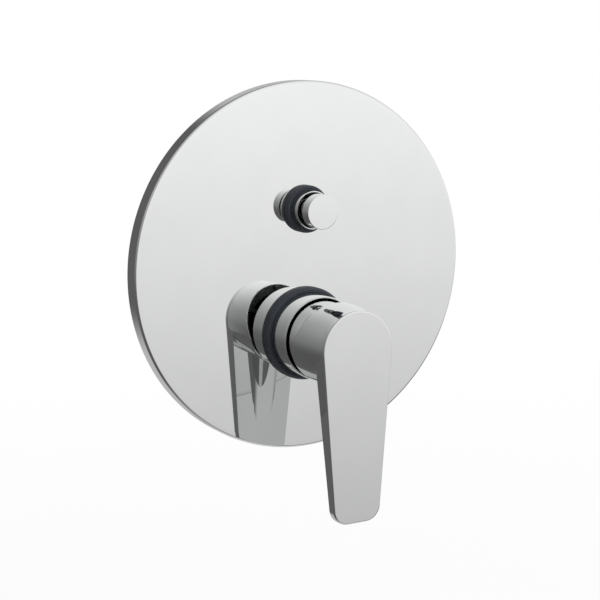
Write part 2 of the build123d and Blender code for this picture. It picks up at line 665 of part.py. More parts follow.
def diverter_button():
    """Push button: round head, narrow neck and a socket for the spindle."""
    head = rod(BUTTON_RADIUS, BUTTON_HEAD_REAR, BUTTON_FRONT, DIVERTER_Z)
    head = round_edges(head, BUTTON_EDGE_RADIUS, BUTTON_FRONT)
    head += rod(BUTTON_NECK_RADIUS, BUTTON_REAR, BUTTON_HEAD_REAR, DIVERTER_Z)
    return head - rod(SPINDLE_RADIUS + PUSH_FIT, BUTTON_REAR - OVERCUT, button_socket_front(), DIVERTER_Z)


def diverter_spindle():
    shaft = rod(SPINDLE_RADIUS, PISTON_STACK_FRONT, button_socket_front(), DIVERTER_Z)
    end = PISTON_STACK_REAR - CLIP_THICKNESS - SPINDLE_NOSE_SPARE
    return shaft + rod(SPINDLE_NOSE_RADIUS, end, PISTON_STACK_FRONT, DIVERTER_Z)


def housing_ring_place():
    waist_front = DIVERTER_REAR + SEAT_LAND_LENGTH + DIVERTER_WAIST_LENGTH
    return (DIVERTER_FACE + waist_front) / 2


def spindle_ring_place():
    return (DIVERTER_GUIDE_FRONT + DIVERTER_GUIDE_REAR) / 2


def sleeve_ring_place():
    return (DIVERTER_FLANGE_FRONT + DIVERTER_TUBE_FRONT) / 2


def spindle_groove_floor():
    return SPINDLE_RADIUS + RING_SECTION + 2 * PUSH_FIT


def diverter_housing():
    """Brass bush: front tube under the sleeve, hexagon, guide, water windows and front seat."""
    thread = DIVERTER_BORE_RADIUS - PUSH_FIT
    waist_rear = DIVERTER_REAR + SEAT_LAND_LENGTH
    waist_front = waist_rear + DIVERTER_WAIST_LENGTH
    bush = rod(DIVERTER_TUBE_RADIUS, DIVERTER_FLANGE_FRONT, DIVERTER_TUBE_FRONT, DIVERTER_Z)
    plane = Plane(origin=(0, -DIVERTER_FACE, DIVERTER_Z), x_dir=(1, 0, 0), z_dir=(0, -1, 0))
    hexagon = RegularPolygon(DIVERTER_FLANGE_RADIUS, 6)
    bush += extrude(plane * hexagon, DIVERTER_FLANGE_HEIGHT)
    bush += rod(thread, DIVERTER_REAR, DIVERTER_FACE, DIVERTER_Z)
    bush -= tube(DIVERTER_WAIST_RADIUS, 2 * thread, waist_rear, waist_front, DIVERTER_Z)
    bush -= rod(SPRING_CAVITY_RADIUS, DIVERTER_GUIDE_FRONT, DIVERTER_TUBE_FRONT + OVERCUT, DIVERTER_Z)
    guide_bore = SPINDLE_RADIUS + RUNNING_CLEARANCE
    bush -= rod(guide_bore, DIVERTER_REAR - OVERCUT, DIVERTER_GUIDE_FRONT + OVERCUT, DIVERTER_Z)
    bush -= rod(DIVERTER_GALLERY_RADIUS, DIVERTER_REAR - OVERCUT, DIVERTER_GUIDE_REAR, DIVERTER_Z)
    reach = 2 * thread
    bush -= bar_x(DIVERTER_WINDOW_RADIUS, -reach, reach, WINDOW_PLACE, DIVERTER_Z)
    bush -= bar_z(DIVERTER_WINDOW_RADIUS, DIVERTER_Z - reach, DIVERTER_Z + reach, WINDOW_PLACE)
    bush -= groove_cut(outer_groove(DIVERTER_BORE_RADIUS), reach, housing_ring_place(), DIVERTER_Z)
    bush -= groove_cut(outer_groove(DIVERTER_SLEEVE_BORE), reach, sleeve_ring_place(), DIVERTER_Z)
    return bush - groove_cut(SPINDLE_RADIUS, spindle_groove_floor(), spindle_ring_place(), DIVERTER_Z)


def diverter_housing_ring():
    return rubber_ring(outer_groove(DIVERTER_BORE_RADIUS) + PUSH_FIT, housing_ring_place(), DIVERTER_Z)


def diverter_sleeve_ring():
    return rubber_ring(outer_groove(DIVERTER_SLEEVE_BORE) + PUSH_FIT, sleeve_ring_place(), DIVERTER_Z)


def spindle_ring():
    return rubber_ring(SPINDLE_RADIUS + PUSH_FIT, spindle_ring_place(), DIVERTER_Z)


def diverter_spring():
    """Coil spring between the bush and the button, round the spindle."""
    rear = DIVERTER_GUIDE_FRONT + SPRING_WIRE_RADIUS + PUSH_FIT
    front = BUTTON_REAR - SPRING_WIRE_RADIUS - PUSH_FIT
    coil = Helix(pitch=(front - rear) / SPRING_COILS, height=front - rear, radius=SPRING_MEAN_RADIUS)
    wire = sweep(Plane(origin=coil @ 0, z_dir=coil % 0) * Circle(SPRING_WIRE_RADIUS), path=coil)
    return Pos(0, -rear, DIVERTER_Z) * Rot(90, 0, 0) * wire


def nose_ring(outer_radius, rear, front):
    """Flat ring on the spindle's nose."""
    return tube(SPINDLE_NOSE_RADIUS + PUSH_FIT, outer_radius, rear, front, DIVERTER_Z)


def piston_seal_front():
    return nose_ring(PISTON_SEAL_RADIUS, PISTON_FRONT, PISTON_STACK_FRONT)


def diverter_piston():
    return nose_ring(PISTON_RADIUS, PISTON_REAR, PISTON_FRONT)


def piston_seal_rear():
    return nose_ring(PISTON_SEAL_RADIUS, PISTON_STACK_REAR, PISTON_REAR)


def spindle_clip():
    return nose_ring(CLIP_RADIUS, PISTON_STACK_REAR - CLIP_THICKNESS, PISTON_STACK_REAR)


def body_outside():
    """Casting: neck, cartridge barrel, spine, diverter boss, four pipe bosses and the fixing bar."""
    ports = -PORT_DEPTH
    inlet_z = LEVER_Z + INLET_PORT_Z
    casting = rod(NECK_RADIUS, -BODY_SHOULDER_DEPTH, NECK_FRONT, LEVER_Z)
    casting += rod(BODY_BARREL_RADIUS, -BODY_BARREL_REAR, -BODY_SHOULDER_DEPTH, LEVER_Z)
    casting += rod(DIVERTER_BOSS_RADIUS, -BODY_BACK_DEPTH, DIVERTER_FACE, DIVERTER_Z)
    casting += block(2 * BODY_SPINE_HALF_WIDTH, -BODY_BACK_DEPTH, -BODY_SPINE_FRONT,
                     LEVER_Z - BODY_BARREL_RADIUS - PORT_BOSS_RADIUS, DIVERTER_Z)
    casting += bar_x(PORT_BOSS_RADIUS, -INLET_REACH, INLET_REACH, ports, inlet_z)
    casting += bar_z(PORT_BOSS_RADIUS, -BATH_REACH, SHOWER_REACH, ports)
    lug_front = LUG_THICKNESS - BODY_BACK_DEPTH
    casting += block(2 * LUG_HALF_SPAN, -BODY_BACK_DEPTH, lug_front, -LUG_RADIUS, LUG_RADIUS)
    for side in (-1, 1):
        casting += rod(LUG_RADIUS, -BODY_BACK_DEPTH, lug_front, 0, side * LUG_HALF_SPAN)
    return casting


def body_water_ways():
    """Threaded mouths and the passages between ports, cartridge seat and diverter."""
    ports = -PORT_DEPTH
    inlet_z = LEVER_Z + INLET_PORT_Z
    bath_z = LEVER_Z - BODY_BARREL_RADIUS
    ways = cartridge_ports(ports, SEAT + OVERCUT)
    for side in (-1, 1):
        mouth = INLET_REACH - PORT_THREAD_LENGTH
        ways += bar_x(PORT_THREAD_RADIUS, side * mouth, side * (INLET_REACH + OVERCUT), ports, inlet_z)
        inner_end = INLET_PORT_X - PORT_RADIUS - PASSAGE_END_GAP
        ways += bar_x(INLET_PASSAGE_RADIUS, side * inner_end, side * mouth, ports, inlet_z)
    ways += bar_z(PORT_THREAD_RADIUS, SHOWER_REACH - PORT_THREAD_LENGTH, SHOWER_REACH + OVERCUT, ports)
    ways += bar_z(PORT_THREAD_RADIUS, -BATH_REACH - OVERCUT, -BATH_REACH + PORT_THREAD_LENGTH, ports)
    ways += bar_z(PASSAGE_RADIUS, DIVERTER_Z, SHOWER_REACH - PORT_THREAD_LENGTH, WINDOW_PLACE)
    ways += bar_z(PASSAGE_RADIUS, LEVER_Z + MIXED_PORT_Z - PASSAGE_RADIUS, DIVERTER_Z, ports)
    ways += bar_z(PASSAGE_RADIUS, bath_z, DIVERTER_Z, -BATH_PASSAGE_DEPTH)
    gallery_rear = -BATH_PASSAGE_DEPTH - BATH_GALLERY_RADIUS
    ways += rod(BATH_GALLERY_RADIUS, gallery_rear, ports + BATH_GALLERY_RADIUS, bath_z)
    ways += bar_z(PASSAGE_RADIUS, -BATH_REACH + PORT_THREAD_LENGTH, bath_z, ports)
    return ways


def valve_body():
    casting = body_outside() - body_water_ways()
    casting -= rod(HOUSING_FLANGE_RADIUS + SLEEVE_CLEARANCE, SEAT, FLANGE_TOP, LEVER_Z)
    casting -= rod(NECK_BORE, FLANGE_TOP, NECK_FRONT + OVERCUT, LEVER_Z)
    casting -= rod(DIVERTER_BORE_RADIUS, -REAR_SEAT_DEPTH, DIVERTER_FACE + OVERCUT, DIVERTER_Z)
    casting -= rod(REAR_SEAT_RADIUS, -REAR_CHAMBER_DEPTH, -REAR_SEAT_DEPTH, DIVERTER_Z)
    for side in (-1, 1):
        casting -= rod(LUG_HOLE_RADIUS, -BODY_BACK_DEPTH - OVERCUT, 0, 0, side * LUG_HALF_SPAN)
    groove = outer_groove(LEVER_SLEEVE_BORE)
    return casting - groove_cut(groove, 2 * NECK_RADIUS, lever_sleeve_ring_place(), LEVER_Z)


PIECES = [
    cover_plate, plate_seal, lever_gasket, lever_sleeve, lever_sleeve_ring, dome_ring,
    lever_handle, handle_screw, screw_plug, stem, stem_pin, turret, turret_ring,
    disc_carrier, moving_disc, fixed_disc, hot_port_seal, cold_port_seal, mixed_port_seal,
    cartridge_base, cartridge_housing, cartridge_nut, diverter_gasket, diverter_sleeve,
    diverter_button, diverter_spindle, diverter_housing, diverter_housing_ring,
    diverter_sleeve_ring, spindle_ring, diverter_spring, piston_seal_front, diverter_piston,
    piston_seal_rear, spindle_clip, valve_body,
]

os.makedirs("parts", exist_ok=True)
for piece in PIECES:
    export_step(piece(), f"parts/{piece.__name__}.step")
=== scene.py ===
import json
import math

import bmesh
import bpy
from bpy.props import FloatProperty, FloatVectorProperty, IntProperty, PointerProperty
from bpy.types import Operator, Panel, PropertyGroup
from mathutils import Matrix, Vector


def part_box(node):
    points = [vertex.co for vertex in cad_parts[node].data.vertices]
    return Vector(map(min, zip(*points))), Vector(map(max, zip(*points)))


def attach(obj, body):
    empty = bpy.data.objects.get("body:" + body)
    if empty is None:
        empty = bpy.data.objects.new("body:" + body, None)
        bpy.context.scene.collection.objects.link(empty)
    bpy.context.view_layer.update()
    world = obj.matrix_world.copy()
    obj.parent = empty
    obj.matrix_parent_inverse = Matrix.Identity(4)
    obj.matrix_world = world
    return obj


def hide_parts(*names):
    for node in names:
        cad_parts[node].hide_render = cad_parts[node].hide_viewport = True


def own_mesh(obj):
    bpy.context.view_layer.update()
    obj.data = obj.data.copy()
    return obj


bl_info = {
    "name": "Concealed shower mixer",
    "version": (1, 0, 0),
    "blender": (4, 5, 0),
    "location": "View3D > Sidebar > Mixer",
    "description": "Models the finished surfaces of a concealed shower mixer around its solids",
    "category": "Object",
}

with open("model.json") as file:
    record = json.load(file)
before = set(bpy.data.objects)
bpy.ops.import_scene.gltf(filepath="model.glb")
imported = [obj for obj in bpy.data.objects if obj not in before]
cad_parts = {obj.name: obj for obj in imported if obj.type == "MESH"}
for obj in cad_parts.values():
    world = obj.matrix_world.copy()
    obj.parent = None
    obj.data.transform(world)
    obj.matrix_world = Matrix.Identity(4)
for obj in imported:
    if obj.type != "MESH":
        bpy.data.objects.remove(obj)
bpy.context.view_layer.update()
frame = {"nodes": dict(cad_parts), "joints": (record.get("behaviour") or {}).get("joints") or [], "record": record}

# Lengths are metres. Places along the depth are distances in front of the wall, the plane y = 0.
MM = 0.001
MERGE_DISTANCE = 0.002 * MM
CREASE_ANGLE = math.radians(32)
DEPTH_AXIS = Vector((0, 1, 0))
FACING = Vector((0, -1, 0))


def reach(node):
    """Radius of a round node, and its rear and front places."""
    low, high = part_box(node)
    return (high.x - low.x) / 2, -high.y, -low.y


def axis_height(node):
    low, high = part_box(node)
    return (low.z + high.z) / 2


LEVER_AXIS = axis_height("lever_sleeve")
DIVERTER_AXIS = axis_height("diverter_sleeve")
PLATE_RADIUS, PLATE_REAR, PLATE_FRONT = reach("cover_plate")
SEAL_RADIUS, SEAL_REAR, SEAL_FRONT = reach("plate_seal")
LEVER_SLEEVE_RADIUS, LEVER_SLEEVE_REAR, LEVER_SLEEVE_FRONT = reach("lever_sleeve")
LEVER_GASKET_RADIUS, LEVER_GASKET_REAR, LEVER_GASKET_FRONT = reach("lever_gasket")
DIVERTER_SLEEVE_RADIUS, DIVERTER_SLEEVE_REAR, DIVERTER_SLEEVE_FRONT = reach("diverter_sleeve")
DIVERTER_GASKET_RADIUS, DIVERTER_GASKET_REAR, DIVERTER_GASKET_FRONT = reach("diverter_gasket")
BUTTON_RADIUS, BUTTON_REAR, BUTTON_FRONT = reach("diverter_button")
HUB_RADIUS, HUB_REAR, LEVER_FRONT = reach("lever_handle")
LEVER_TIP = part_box("lever_handle")[0].z
DOME_RADIUS, DOME_REAR = reach("dome_ring")[:2]
SPRING_RADIUS, SPRING_REAR, SPRING_FRONT = reach("diverter_spring")
JOINTS = {joint["name"]: joint for joint in frame["joints"]}
PIVOT = -JOINTS["flow_lift"]["pos_m"][1]


def length(name, description, default):
    """A size that a user may change."""
    return FloatProperty(
        name=name, description=description, default=default, unit="LENGTH", precision=5
    )


def angle(name, description, degrees):
    return FloatProperty(
        name=name, description=description, default=math.radians(degrees), subtype="ANGLE"
    )


def share(name, description, default):
    return FloatProperty(
        name=name, description=description, default=default, min=0, max=1, subtype="FACTOR"
    )


def colour(name, description, default):
    return FloatVectorProperty(
        name=name, description=description, default=default, size=3, min=0, max=1, subtype="COLOR"
    )


class MixerPlate(PropertyGroup):
    """Sizes of the cover plate and the seal behind it."""

    radius: length("Plate radius", "Outer radius of the cover plate", PLATE_RADIUS)
    front: length("Plate front", "Distance of the plate's face from the wall", PLATE_FRONT)
    wall: length("Plate wall", "Thickness of the pressed sheet", 1.4 * MM)
    edge_round: length("Edge rounding", "Rounding of the plate's front edge", 1.2 * MM)
    fine_round: length("Fine rounding", "Rounding of rims and hole edges", 0.25 * MM)
    seal_width: length("Seal width", "Width of the foam ring", 6.0 * MM)
    seal_round: length("Seal rounding", "Rounding of the foam ring's corners", 1.6 * MM)


class MixerControls(PropertyGroup):
    """Sizes of the gaskets, sleeves and push button."""

    fit: length("Fit", "Gap between a gasket and its sleeve", 0.05 * MM)
    neck: length("Gasket neck", "How far a gasket's neck stands out from its sleeve", 1.3 * MM)
    lip: length("Gasket lip", "How far a gasket's rear lip stands out from its sleeve", 2.4 * MM)
    lever_gasket_round: length("Lever gasket rounding", "Rounding of its edge", 1.8 * MM)
    diverter_gasket_round: length("Diverter gasket rounding", "Rounding of its edge", 1.2 * MM)
    wiper_width: length("Wiper width", "Width of the soft inner rim on the gasket's face", 0.8 * MM)
    wiper_groove: length("Wiper groove", "Depth of the groove beside that rim", 0.45 * MM)
    lever_sleeve_wall: length("Lever sleeve wall", "Wall of the lever's sleeve", 0.9 * MM)
    diverter_sleeve_wall: length("Diverter sleeve wall", "Wall of the diverter's sleeve", 0.7 * MM)
    sleeve_round: length("Sleeve rounding", "Rounding of the lever sleeve's front edge", 0.4 * MM)
    dome_wall: length("Dome wall", "Wall of the dome ring", 1.3 * MM)
    dome_opening: length("Dome opening", "Radius of the dome ring's opening", 13.0 * MM)
    dome_bore: length("Dome bore", "Radius of the dome ring's skirt inside", 17.35 * MM)
    head_length: length("Button head", "Length of the button's head", 6.0 * MM)
    head_round: length("Button rounding", "Rounding of the button's front edge", 0.4 * MM)
    button_neck: length("Button neck", "Radius of the button's neck", 6.3 * MM)
    button_socket: length("Button socket", "Radius of the button's socket", 4.05 * MM)
    spring_wire: length("Spring wire", "Radius of the diverter spring's wire", 0.4 * MM)
    spring_coils: IntProperty(
        name="Spring coils", description="Turns of that spring", default=6, min=1
    )


class MixerLever(PropertyGroup):
    """Sizes of the lever handle."""

    head_radius: length("Head radius", "Radius of the lever's round head", 19.8 * MM)
    head_thickness: length("Head thickness", "Straight part of the head's edge", 3.0 * MM)
    root_thickness: length("Root thickness", "Thickness of the lever's sides at the hub", 8.6 * MM)
    tip_thickness: length("Tip thickness", "Thickness of the lever at its tip", 4.3 * MM)
    edge_round: length("Edge rounding", "Rounding of the lever's front edge", 0.8 * MM)
    tip_corner: length("Tip corner", "Radius of the two corners of the tip", 8.0 * MM)
    tip_flat: length("Tip flat", "Straight stretch of the tip", 10.9 * MM)
    bulge: length("Barrel bulge", "How far the hub's side swells", 0.37 * MM)
    rim_place: length("Rim place", "Where the hub's rim crosses its axis", 33.0 * MM)
    rim_slant: angle("Rim slant", "How far the hub's rim leans", 22.2)
    rim_round: length("Rim rounding", "Rounding of the hub's rim", 0.3 * MM)
    inner_radius: length("Inner radius", "Radius of the hub's inside near the face", 16.3 * MM)
    front_wall: length("Front wall", "Thickness of the hub's front", 4.0 * MM)
    boss_radius: length("Boss radius", "Radius of the boss that grips the stem", 9.0 * MM)
    boss_length: length("Boss length", "Length of that boss", 11.0 * MM)
    socket_width: length("Socket width", "Width of the square socket in the boss", 8.1 * MM)
    wide_front: length("Wide hollow", "Place where the hub's wide hollow ends", 40.0 * MM)
    dome_gap: length("Dome gap", "Free space between the hub's inside and the dome", 0.35 * MM)
    web_thickness: length("Web thickness", "Thickness of the walls inside the hub", 2.0 * MM)
    web_rear: length("Web rear", "Place of the rear edge of those walls", 38.0 * MM)
    rib_depth: length("Rib depth", "Depth of the rib behind the lever, at the hub", 11.0 * MM)
    rib_inset: length("Rib inset", "How far the rib stays inside the head's radius", 3.4 * MM)
    rib_end_gap: length("Rib end gap", "Distance of the rib's end from the tip", 7.0 * MM)
    rib_end_depth: length("Rib end depth", "Depth of the rib at its end", 0.8 * MM)
    rib_end_half: length("Rib end half width", "Half width of the rib at its end", 7.0 * MM)
    plug_hole: length("Plug hole", "Radius of the hole for the screw plug", 3.05 * MM)
    screw_hole: length("Screw hole", "Radius of the hole for the grub screw", 2.55 * MM)


class MixerBody(PropertyGroup):
    """Sizes of the cast body's machined ends."""

    voxel: length("Casting grain", "Size of the cells that soften the casting's edges", 0.9 * MM)
    collar_radius: length("Collar radius", "Radius of the machined collar at each mouth", 14.2 * MM)
    collar_length: length("Collar length", "Length of that collar", 5.0 * MM)
    thread_depth: length("Thread depth", "Height of the pipe thread", 1.16 * MM)
    thread_pitch: length("Thread pitch", "Pitch of the pipe thread", 1.814 * MM)


class MixerFinishes(PropertyGroup):
    """Colours of the finishes."""

    chrome: colour("Chrome", "Polished chrome plating", (0.86, 0.872, 0.864))
    raw_casting: colour("Raw casting", "Unpolished metal inside the hub", (0.05, 0.052, 0.055))
    brass: colour("Brass", "Bare brass", (0.66, 0.47, 0.2))
    steel: colour("Steel", "Stainless steel", (0.56, 0.55, 0.53))
    gasket: colour("Gasket rubber", "Rubber of the gaskets in the plate", (0.032, 0.037, 0.047))
    seal: colour("Seal rubber", "Rubber of the inner rings", (0.012, 0.012, 0.013))
    foam: colour("Foam", "Closed-cell foam of the plate's seal", (0.06, 0.062, 0.066))
    plastic: colour("Cartridge plastic", "Plastic of the cartridge", (0.028, 0.029, 0.031))
    ceramic: colour("Ceramic", "Sealing discs", (0.8, 0.78, 0.73))
    plug: colour("Plug plastic", "Plug over the grub screw", (0.32, 0.33, 0.34))


class MixerStudio(PropertyGroup):
    """Camera, lamp and surround."""

    azimuth: angle("Azimuth", "Camera's turn about the plate", -29.513)
    elevation: angle("Elevation", "Camera's height as an angle", 8.633)
    distance: length("Distance", "Camera's distance from the plate's middle", 0.7827)
    lens: FloatProperty(
        name="Lens", description="Focal length of the camera", default=90.5, unit="CAMERA"
    )
    shift_x: FloatProperty(name="Shift X", description="Sideways framing", default=0.0058)
    shift_y: FloatProperty(name="Shift Y", description="Upright framing", default=-0.0596)
    floor_height: length("Floor height", "Height of the floor", -0.3)
    floor_radius: length("Floor radius", "Radius of the floor", 2.0)
    floor: colour("Floor", "Pale floor", (0.9, 0.9, 0.9))
    fill_light: share("Fill light", "Even light from the surround on matt surfaces", 0.62)
    lamp_power: FloatProperty(
        name="Lamp", description="Power of the soft lamp", default=9.0, unit="POWER"
    )


# Shapes

# Segments round a full turn
PLATE_SEGMENTS = 256
SEAL_SEGMENTS = 240
HUB_SEGMENTS = 144
SLEEVE_SEGMENTS = 128
SMALL_SEGMENTS = 96
ROD_SEGMENTS = 48
COIL_SEGMENTS = 40
WIRE_SEGMENTS = 12

# Steps of a rounding or along a curve
PLATE_ROUND_STEPS = 8
EDGE_ROUND_STEPS = 6
ROUND_STEPS = 5
FINE_ROUND_STEPS = 3
DOME_STEPS = 24
BARREL_RINGS = 24
HEAD_STEPS = 76
CORNER_STEPS = 20
RIB_STEPS = 40
RIB_CUTS = 24

LARGE_FACE_WEIGHT = 100


def arc(bm, start, centre, turn, steps, axis=FACING):
    """Edges of an arc from a vertex round a centre, and its last vertex."""
    known = set(bm.edges)
    made = bmesh.ops.spin(
        bm, geom=[start], cent=centre, axis=axis, dvec=(0, 0, 0), angle=turn, steps=steps,
        use_merge=False,
    )
    last = next(item for item in made["geom_last"] if isinstance(item, bmesh.types.BMVert))
    return [edge for edge in bm.edges if edge not in known], last


def turned(section, height, segments=SMALL_SEGMENTS, closed=True, round_steps=ROUND_STEPS):
    """Turns a half section about a control's axis. A corner is (radius, place, rounding)."""
    bm = bmesh.new()
    corners = [bm.verts.new((radius, -place, height)) for radius, place, rounding in section]
    bm.faces.new(corners)
    for corner, (radius, place, rounding) in zip(corners, section):
        if rounding:
            bmesh.ops.bevel(
                bm, geom=[corner], offset=rounding, offset_type="OFFSET", segments=round_steps,
                profile=0.5, affect="VERTICES", material=-1,
            )
    bmesh.ops.delete(bm, geom=bm.faces[:], context="FACES_ONLY")
    if not closed:
        bmesh.ops.delete(bm, geom=[bm.edges.get((corners[-1], corners[0]))], context="EDGES")
    spin_section(bm, height, segments)
    return bm


def spin_section(bm, height, segments):
    """Turns the section in a bmesh about a control's axis."""
    bmesh.ops.spin(
        bm, geom=bm.verts[:] + bm.edges[:], cent=(0, 0, height), axis=DEPTH_AXIS, dvec=(0, 0, 0),
        angle=math.tau, steps=segments, use_merge=True,
    )
    tidy(bm)


def tidy(bm):
    """Closes seams and turns all faces outwards."""
    bmesh.ops.remove_doubles(bm, verts=bm.verts[:], dist=MERGE_DISTANCE)
    bmesh.ops.dissolve_degenerate(bm, edges=bm.edges[:], dist=MERGE_DISTANCE / 10)
    bmesh.ops.recalc_face_normals(bm, faces=bm.faces[:])


def join(bm, other):
    """Adds another shape to a bmesh."""
    carrier = bpy.data.meshes.new("carrier")
    other.to_mesh(carrier)
    other.free()
    bm.from_mesh(carrier)
    bpy.data.meshes.remove(carrier)


def open_edges(bm, place=None):
    """Edges with one face, at one place along the depth if it is given."""
    edges = [edge for edge in bm.edges if edge.is_boundary]
    if place is None:
        return edges
    near = 10 * MERGE_DISTANCE
    return [edge for edge in edges if all(abs(vert.co.y + place) < near for vert in edge.verts)]


def new_parts(made, kind):
    return [item for item in made["geom"] if isinstance(item, kind)]


def pushed_loop(bm, loop, step):
    """Extrudes a loop of edges by a step. Gives the new loop."""
    made = bmesh.ops.extrude_edge_only(bm, edges=loop)
    verts = new_parts(made, bmesh.types.BMVert)
    bmesh.ops.translate(bm, verts=verts, vec=step)
    moved = set(verts)
    return [edge for edge in new_parts(made, bmesh.types.BMEdge) if set(edge.verts) <= moved]


def work_object(bm, name):
    mesh = bpy.data.meshes.new(name)
    bm.to_mesh(mesh)
    bm.free()
    work = bpy.data.objects.new(name, mesh)
    bpy.context.scene.collection.objects.link(work)
    return work


def discard(work):
    mesh = work.data
    bpy.data.objects.remove(work)
    bpy.data.meshes.remove(mesh)


def reshaped(bm, add_modifiers):
    """The shape after some modifiers."""
    work = work_object(bm, "work")
    add_modifiers(work)
    result = bmesh.new()
    result.from_object(work, bpy.context.evaluated_depsgraph_get())
    discard(work)
    return result


def combined(bm, other, operation):
    """The first shape with the second one joined to it or cut from it."""
    tool = work_object(other, "tool")

    def add(work):
        step = work.modifiers.new("combine", "BOOLEAN")
        step.operation = operation
        step.solver = "EXACT"
        step.use_self = True
        step.object = tool

    result = reshaped(bm, add)
    discard(tool)
    return result


def make_piece(bm, name, body, finishes, replaced):
    """Makes a shape a piece of the object, smooth between its creases."""
    piece = work_object(bm, name)
    piece.data.shade_smooth()
    piece.data.set_sharp_from_angle(angle=CREASE_ANGLE)
    for finish in finishes:
        piece.data.materials.append(finish)
    even = piece.modifiers.new("even_normals", "WEIGHTED_NORMAL")
    even.weight = LARGE_FACE_WEIGHT
    even.keep_sharp = True
    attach(piece, body)
    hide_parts(*replaced)
    return piece


# Finishes

# Most of a noise pattern lies between these levels.
NOISE_LOW = 0.3
NOISE_HIGH = 0.7

# Painted shade darkens the metal inside the sleeves, from one distance in front of the wall to the other.
SLEEVE_SHADE = (0.012, 0.012, 0.013, 1)
SLEEVE_SHADE_START = 1 * MM
SLEEVE_SHADE_FULL = 6 * MM


def add_node(tree, kind, inputs=None, **settings):
    """Adds a shader node. An input is a value, or the output that feeds it."""
    made = tree.nodes.new(kind)
    for key, value in settings.items():
        setattr(made, key, value)
    for key, value in (inputs or {}).items():
        socket = made.inputs[key]
        if isinstance(value, bpy.types.NodeSocket):
            tree.links.new(value, socket)
        else:
            socket.default_value = value
    return made


def new_finish(name):
    """An empty material with its shader, and the place on the piece that patterns follow."""
    finish = bpy.data.materials.new(name)
    finish.use_nodes = True
    tree = finish.node_tree
    tree.nodes.clear()
    shader = add_node(tree, "ShaderNodeBsdfPrincipled")
    add_node(tree, "ShaderNodeOutputMaterial", {"Surface": shader.outputs["BSDF"]})
    place = add_node(tree, "ShaderNodeTexCoord").outputs["Object"]
    return finish, tree, shader, place


def grain(tree, place, size, detail, stretch=(1, 1, 1)):
    """Noise with features of about one size, stretched along the axes."""
    mapping = add_node(tree, "ShaderNodeMapping", {"Vector": place, "Scale": stretch})
    noise = add_node(
        tree, "ShaderNodeTexNoise",
        {"Vector": mapping.outputs["Vector"], "Scale": 1 / size, "Detail": detail},
    )
    return noise.outputs["Fac"]


def scaled(tone, factor):
    return tuple(min(1.0, part * factor) for part in tone)


def tones(tree, factor, tone, dark, light):
    """A colour that runs from its dark share to its light share with a pattern."""
    ramp = add_node(tree, "ShaderNodeValToRGB", {"Fac": factor})
    low, high = ramp.color_ramp.elements
    low.position = NOISE_LOW
    low.color = (*scaled(tone, dark), 1)
    high.position = NOISE_HIGH
    high.color = (*scaled(tone, light), 1)
    return ramp.outputs["Color"]


def levels(tree, factor, low, high):
    """Number that runs from low to high with a pattern."""
    spread = add_node(
        tree, "ShaderNodeMapRange",
        {
            "Value": factor, "From Min": NOISE_LOW, "From Max": NOISE_HIGH, "To Min": low,
            "To Max": high,
        },
    )
    return spread.outputs["Result"]


def relief(tree, shader, factor, depth, strength=1.0):
    """Bumps of a pattern's height."""
    bump = add_node(
        tree, "ShaderNodeBump", {"Height": factor, "Distance": depth, "Strength": strength}
    )
    tree.links.new(bump.outputs["Normal"], shader.inputs["Normal"])


def soft_step(tree, value, start, end, low=0.0, high=1.0):
    """Number that runs smoothly from low to high as a value goes from start to end."""
    step = add_node(
        tree, "ShaderNodeMapRange",
        {"Value": value, "From Min": start, "From Max": end, "To Min": low, "To Max": high},
        interpolation_type="SMOOTHSTEP",
    )
    return step.outputs["Result"]


def mixed(tree, factor, first, second):
    """Runs from the first colour to the second. The Mix node's like-named sockets go by index."""
    mix = add_node(tree, "ShaderNodeMix", {0: factor, 6: first, 7: second}, data_type="RGBA")
    return mix.outputs[2]


def mixed_shader(tree, factor, first, second):
    mix = add_node(tree, "ShaderNodeMixShader", {0: factor, 1: first, 2: second})
    return mix.outputs["Shader"]


def sleeve_shaded(tree, place, tone):
    """Turns a colour dark in front of the wall: painted shade on the metal inside the sleeves."""
    depth = add_node(tree, "ShaderNodeSeparateXYZ", {"Vector": place}).outputs["Y"]
    shade_share = soft_step(tree, depth, -SLEEVE_SHADE_FULL, -SLEEVE_SHADE_START, 1.0, 0.0)
    return mixed(tree, shade_share, tone, SLEEVE_SHADE)


def chrome_finish(finishes):
    """Mirror plating with a faint haze and a slow waver in its tone."""
    finish, tree, shader, place = new_finish("polished_chrome")
    tone = tuple(finishes.chrome)
    shader.inputs["Metallic"].default_value = 1.0
    haze = grain(tree, place, size=22 * MM, detail=4.0)
    wipe = grain(tree, place, size=3 * MM, detail=5.0, stretch=(1, 1, 0.25))
    plating = tones(tree, haze, tone, dark=0.985, light=1.01)
    tree.links.new(plating, shader.inputs["Base Color"])
    tree.links.new(levels(tree, wipe, low=0.018, high=0.034), shader.inputs["Roughness"])
    return finish


def raw_casting_finish(finishes):
    """Dull grey skin of the casting where it isn't polished."""
    finish, tree, shader, place = new_finish("raw_casting")
    tone = tuple(finishes.raw_casting)
    shader.inputs["Metallic"].default_value = 0.6
    skin = grain(tree, place, size=1.2 * MM, detail=6.0)
    tree.links.new(tones(tree, skin, tone, dark=0.6, light=1.4), shader.inputs["Base Color"])
    tree.links.new(levels(tree, skin, low=0.45, high=0.65), shader.inputs["Roughness"])
    relief(tree, shader, skin, depth=0.06 * MM)
    return finish


def cast_brass_finish(finishes):
    """Sand-cast brass: pitted skin, dull in the hollows."""
    finish, tree, shader, place = new_finish("cast_brass")
    tone = tuple(finishes.brass)
    shader.inputs["Metallic"].default_value = 1.0
    stain = grain(tree, place, size=18 * MM, detail=5.0)
    skin = grain(tree, place, size=0.9 * MM, detail=6.0)
    skin_tone = tones(tree, stain, tone, dark=0.68, light=0.95)
    # Painted shade: the cast brass turns near black in front of the wall, inside the sleeves.
    tree.links.new(sleeve_shaded(tree, place, skin_tone), shader.inputs["Base Color"])
    tree.links.new(levels(tree, stain, low=0.5, high=0.36), shader.inputs["Roughness"])
    relief(tree, shader, skin, depth=0.12 * MM, strength=0.8)
    return finish


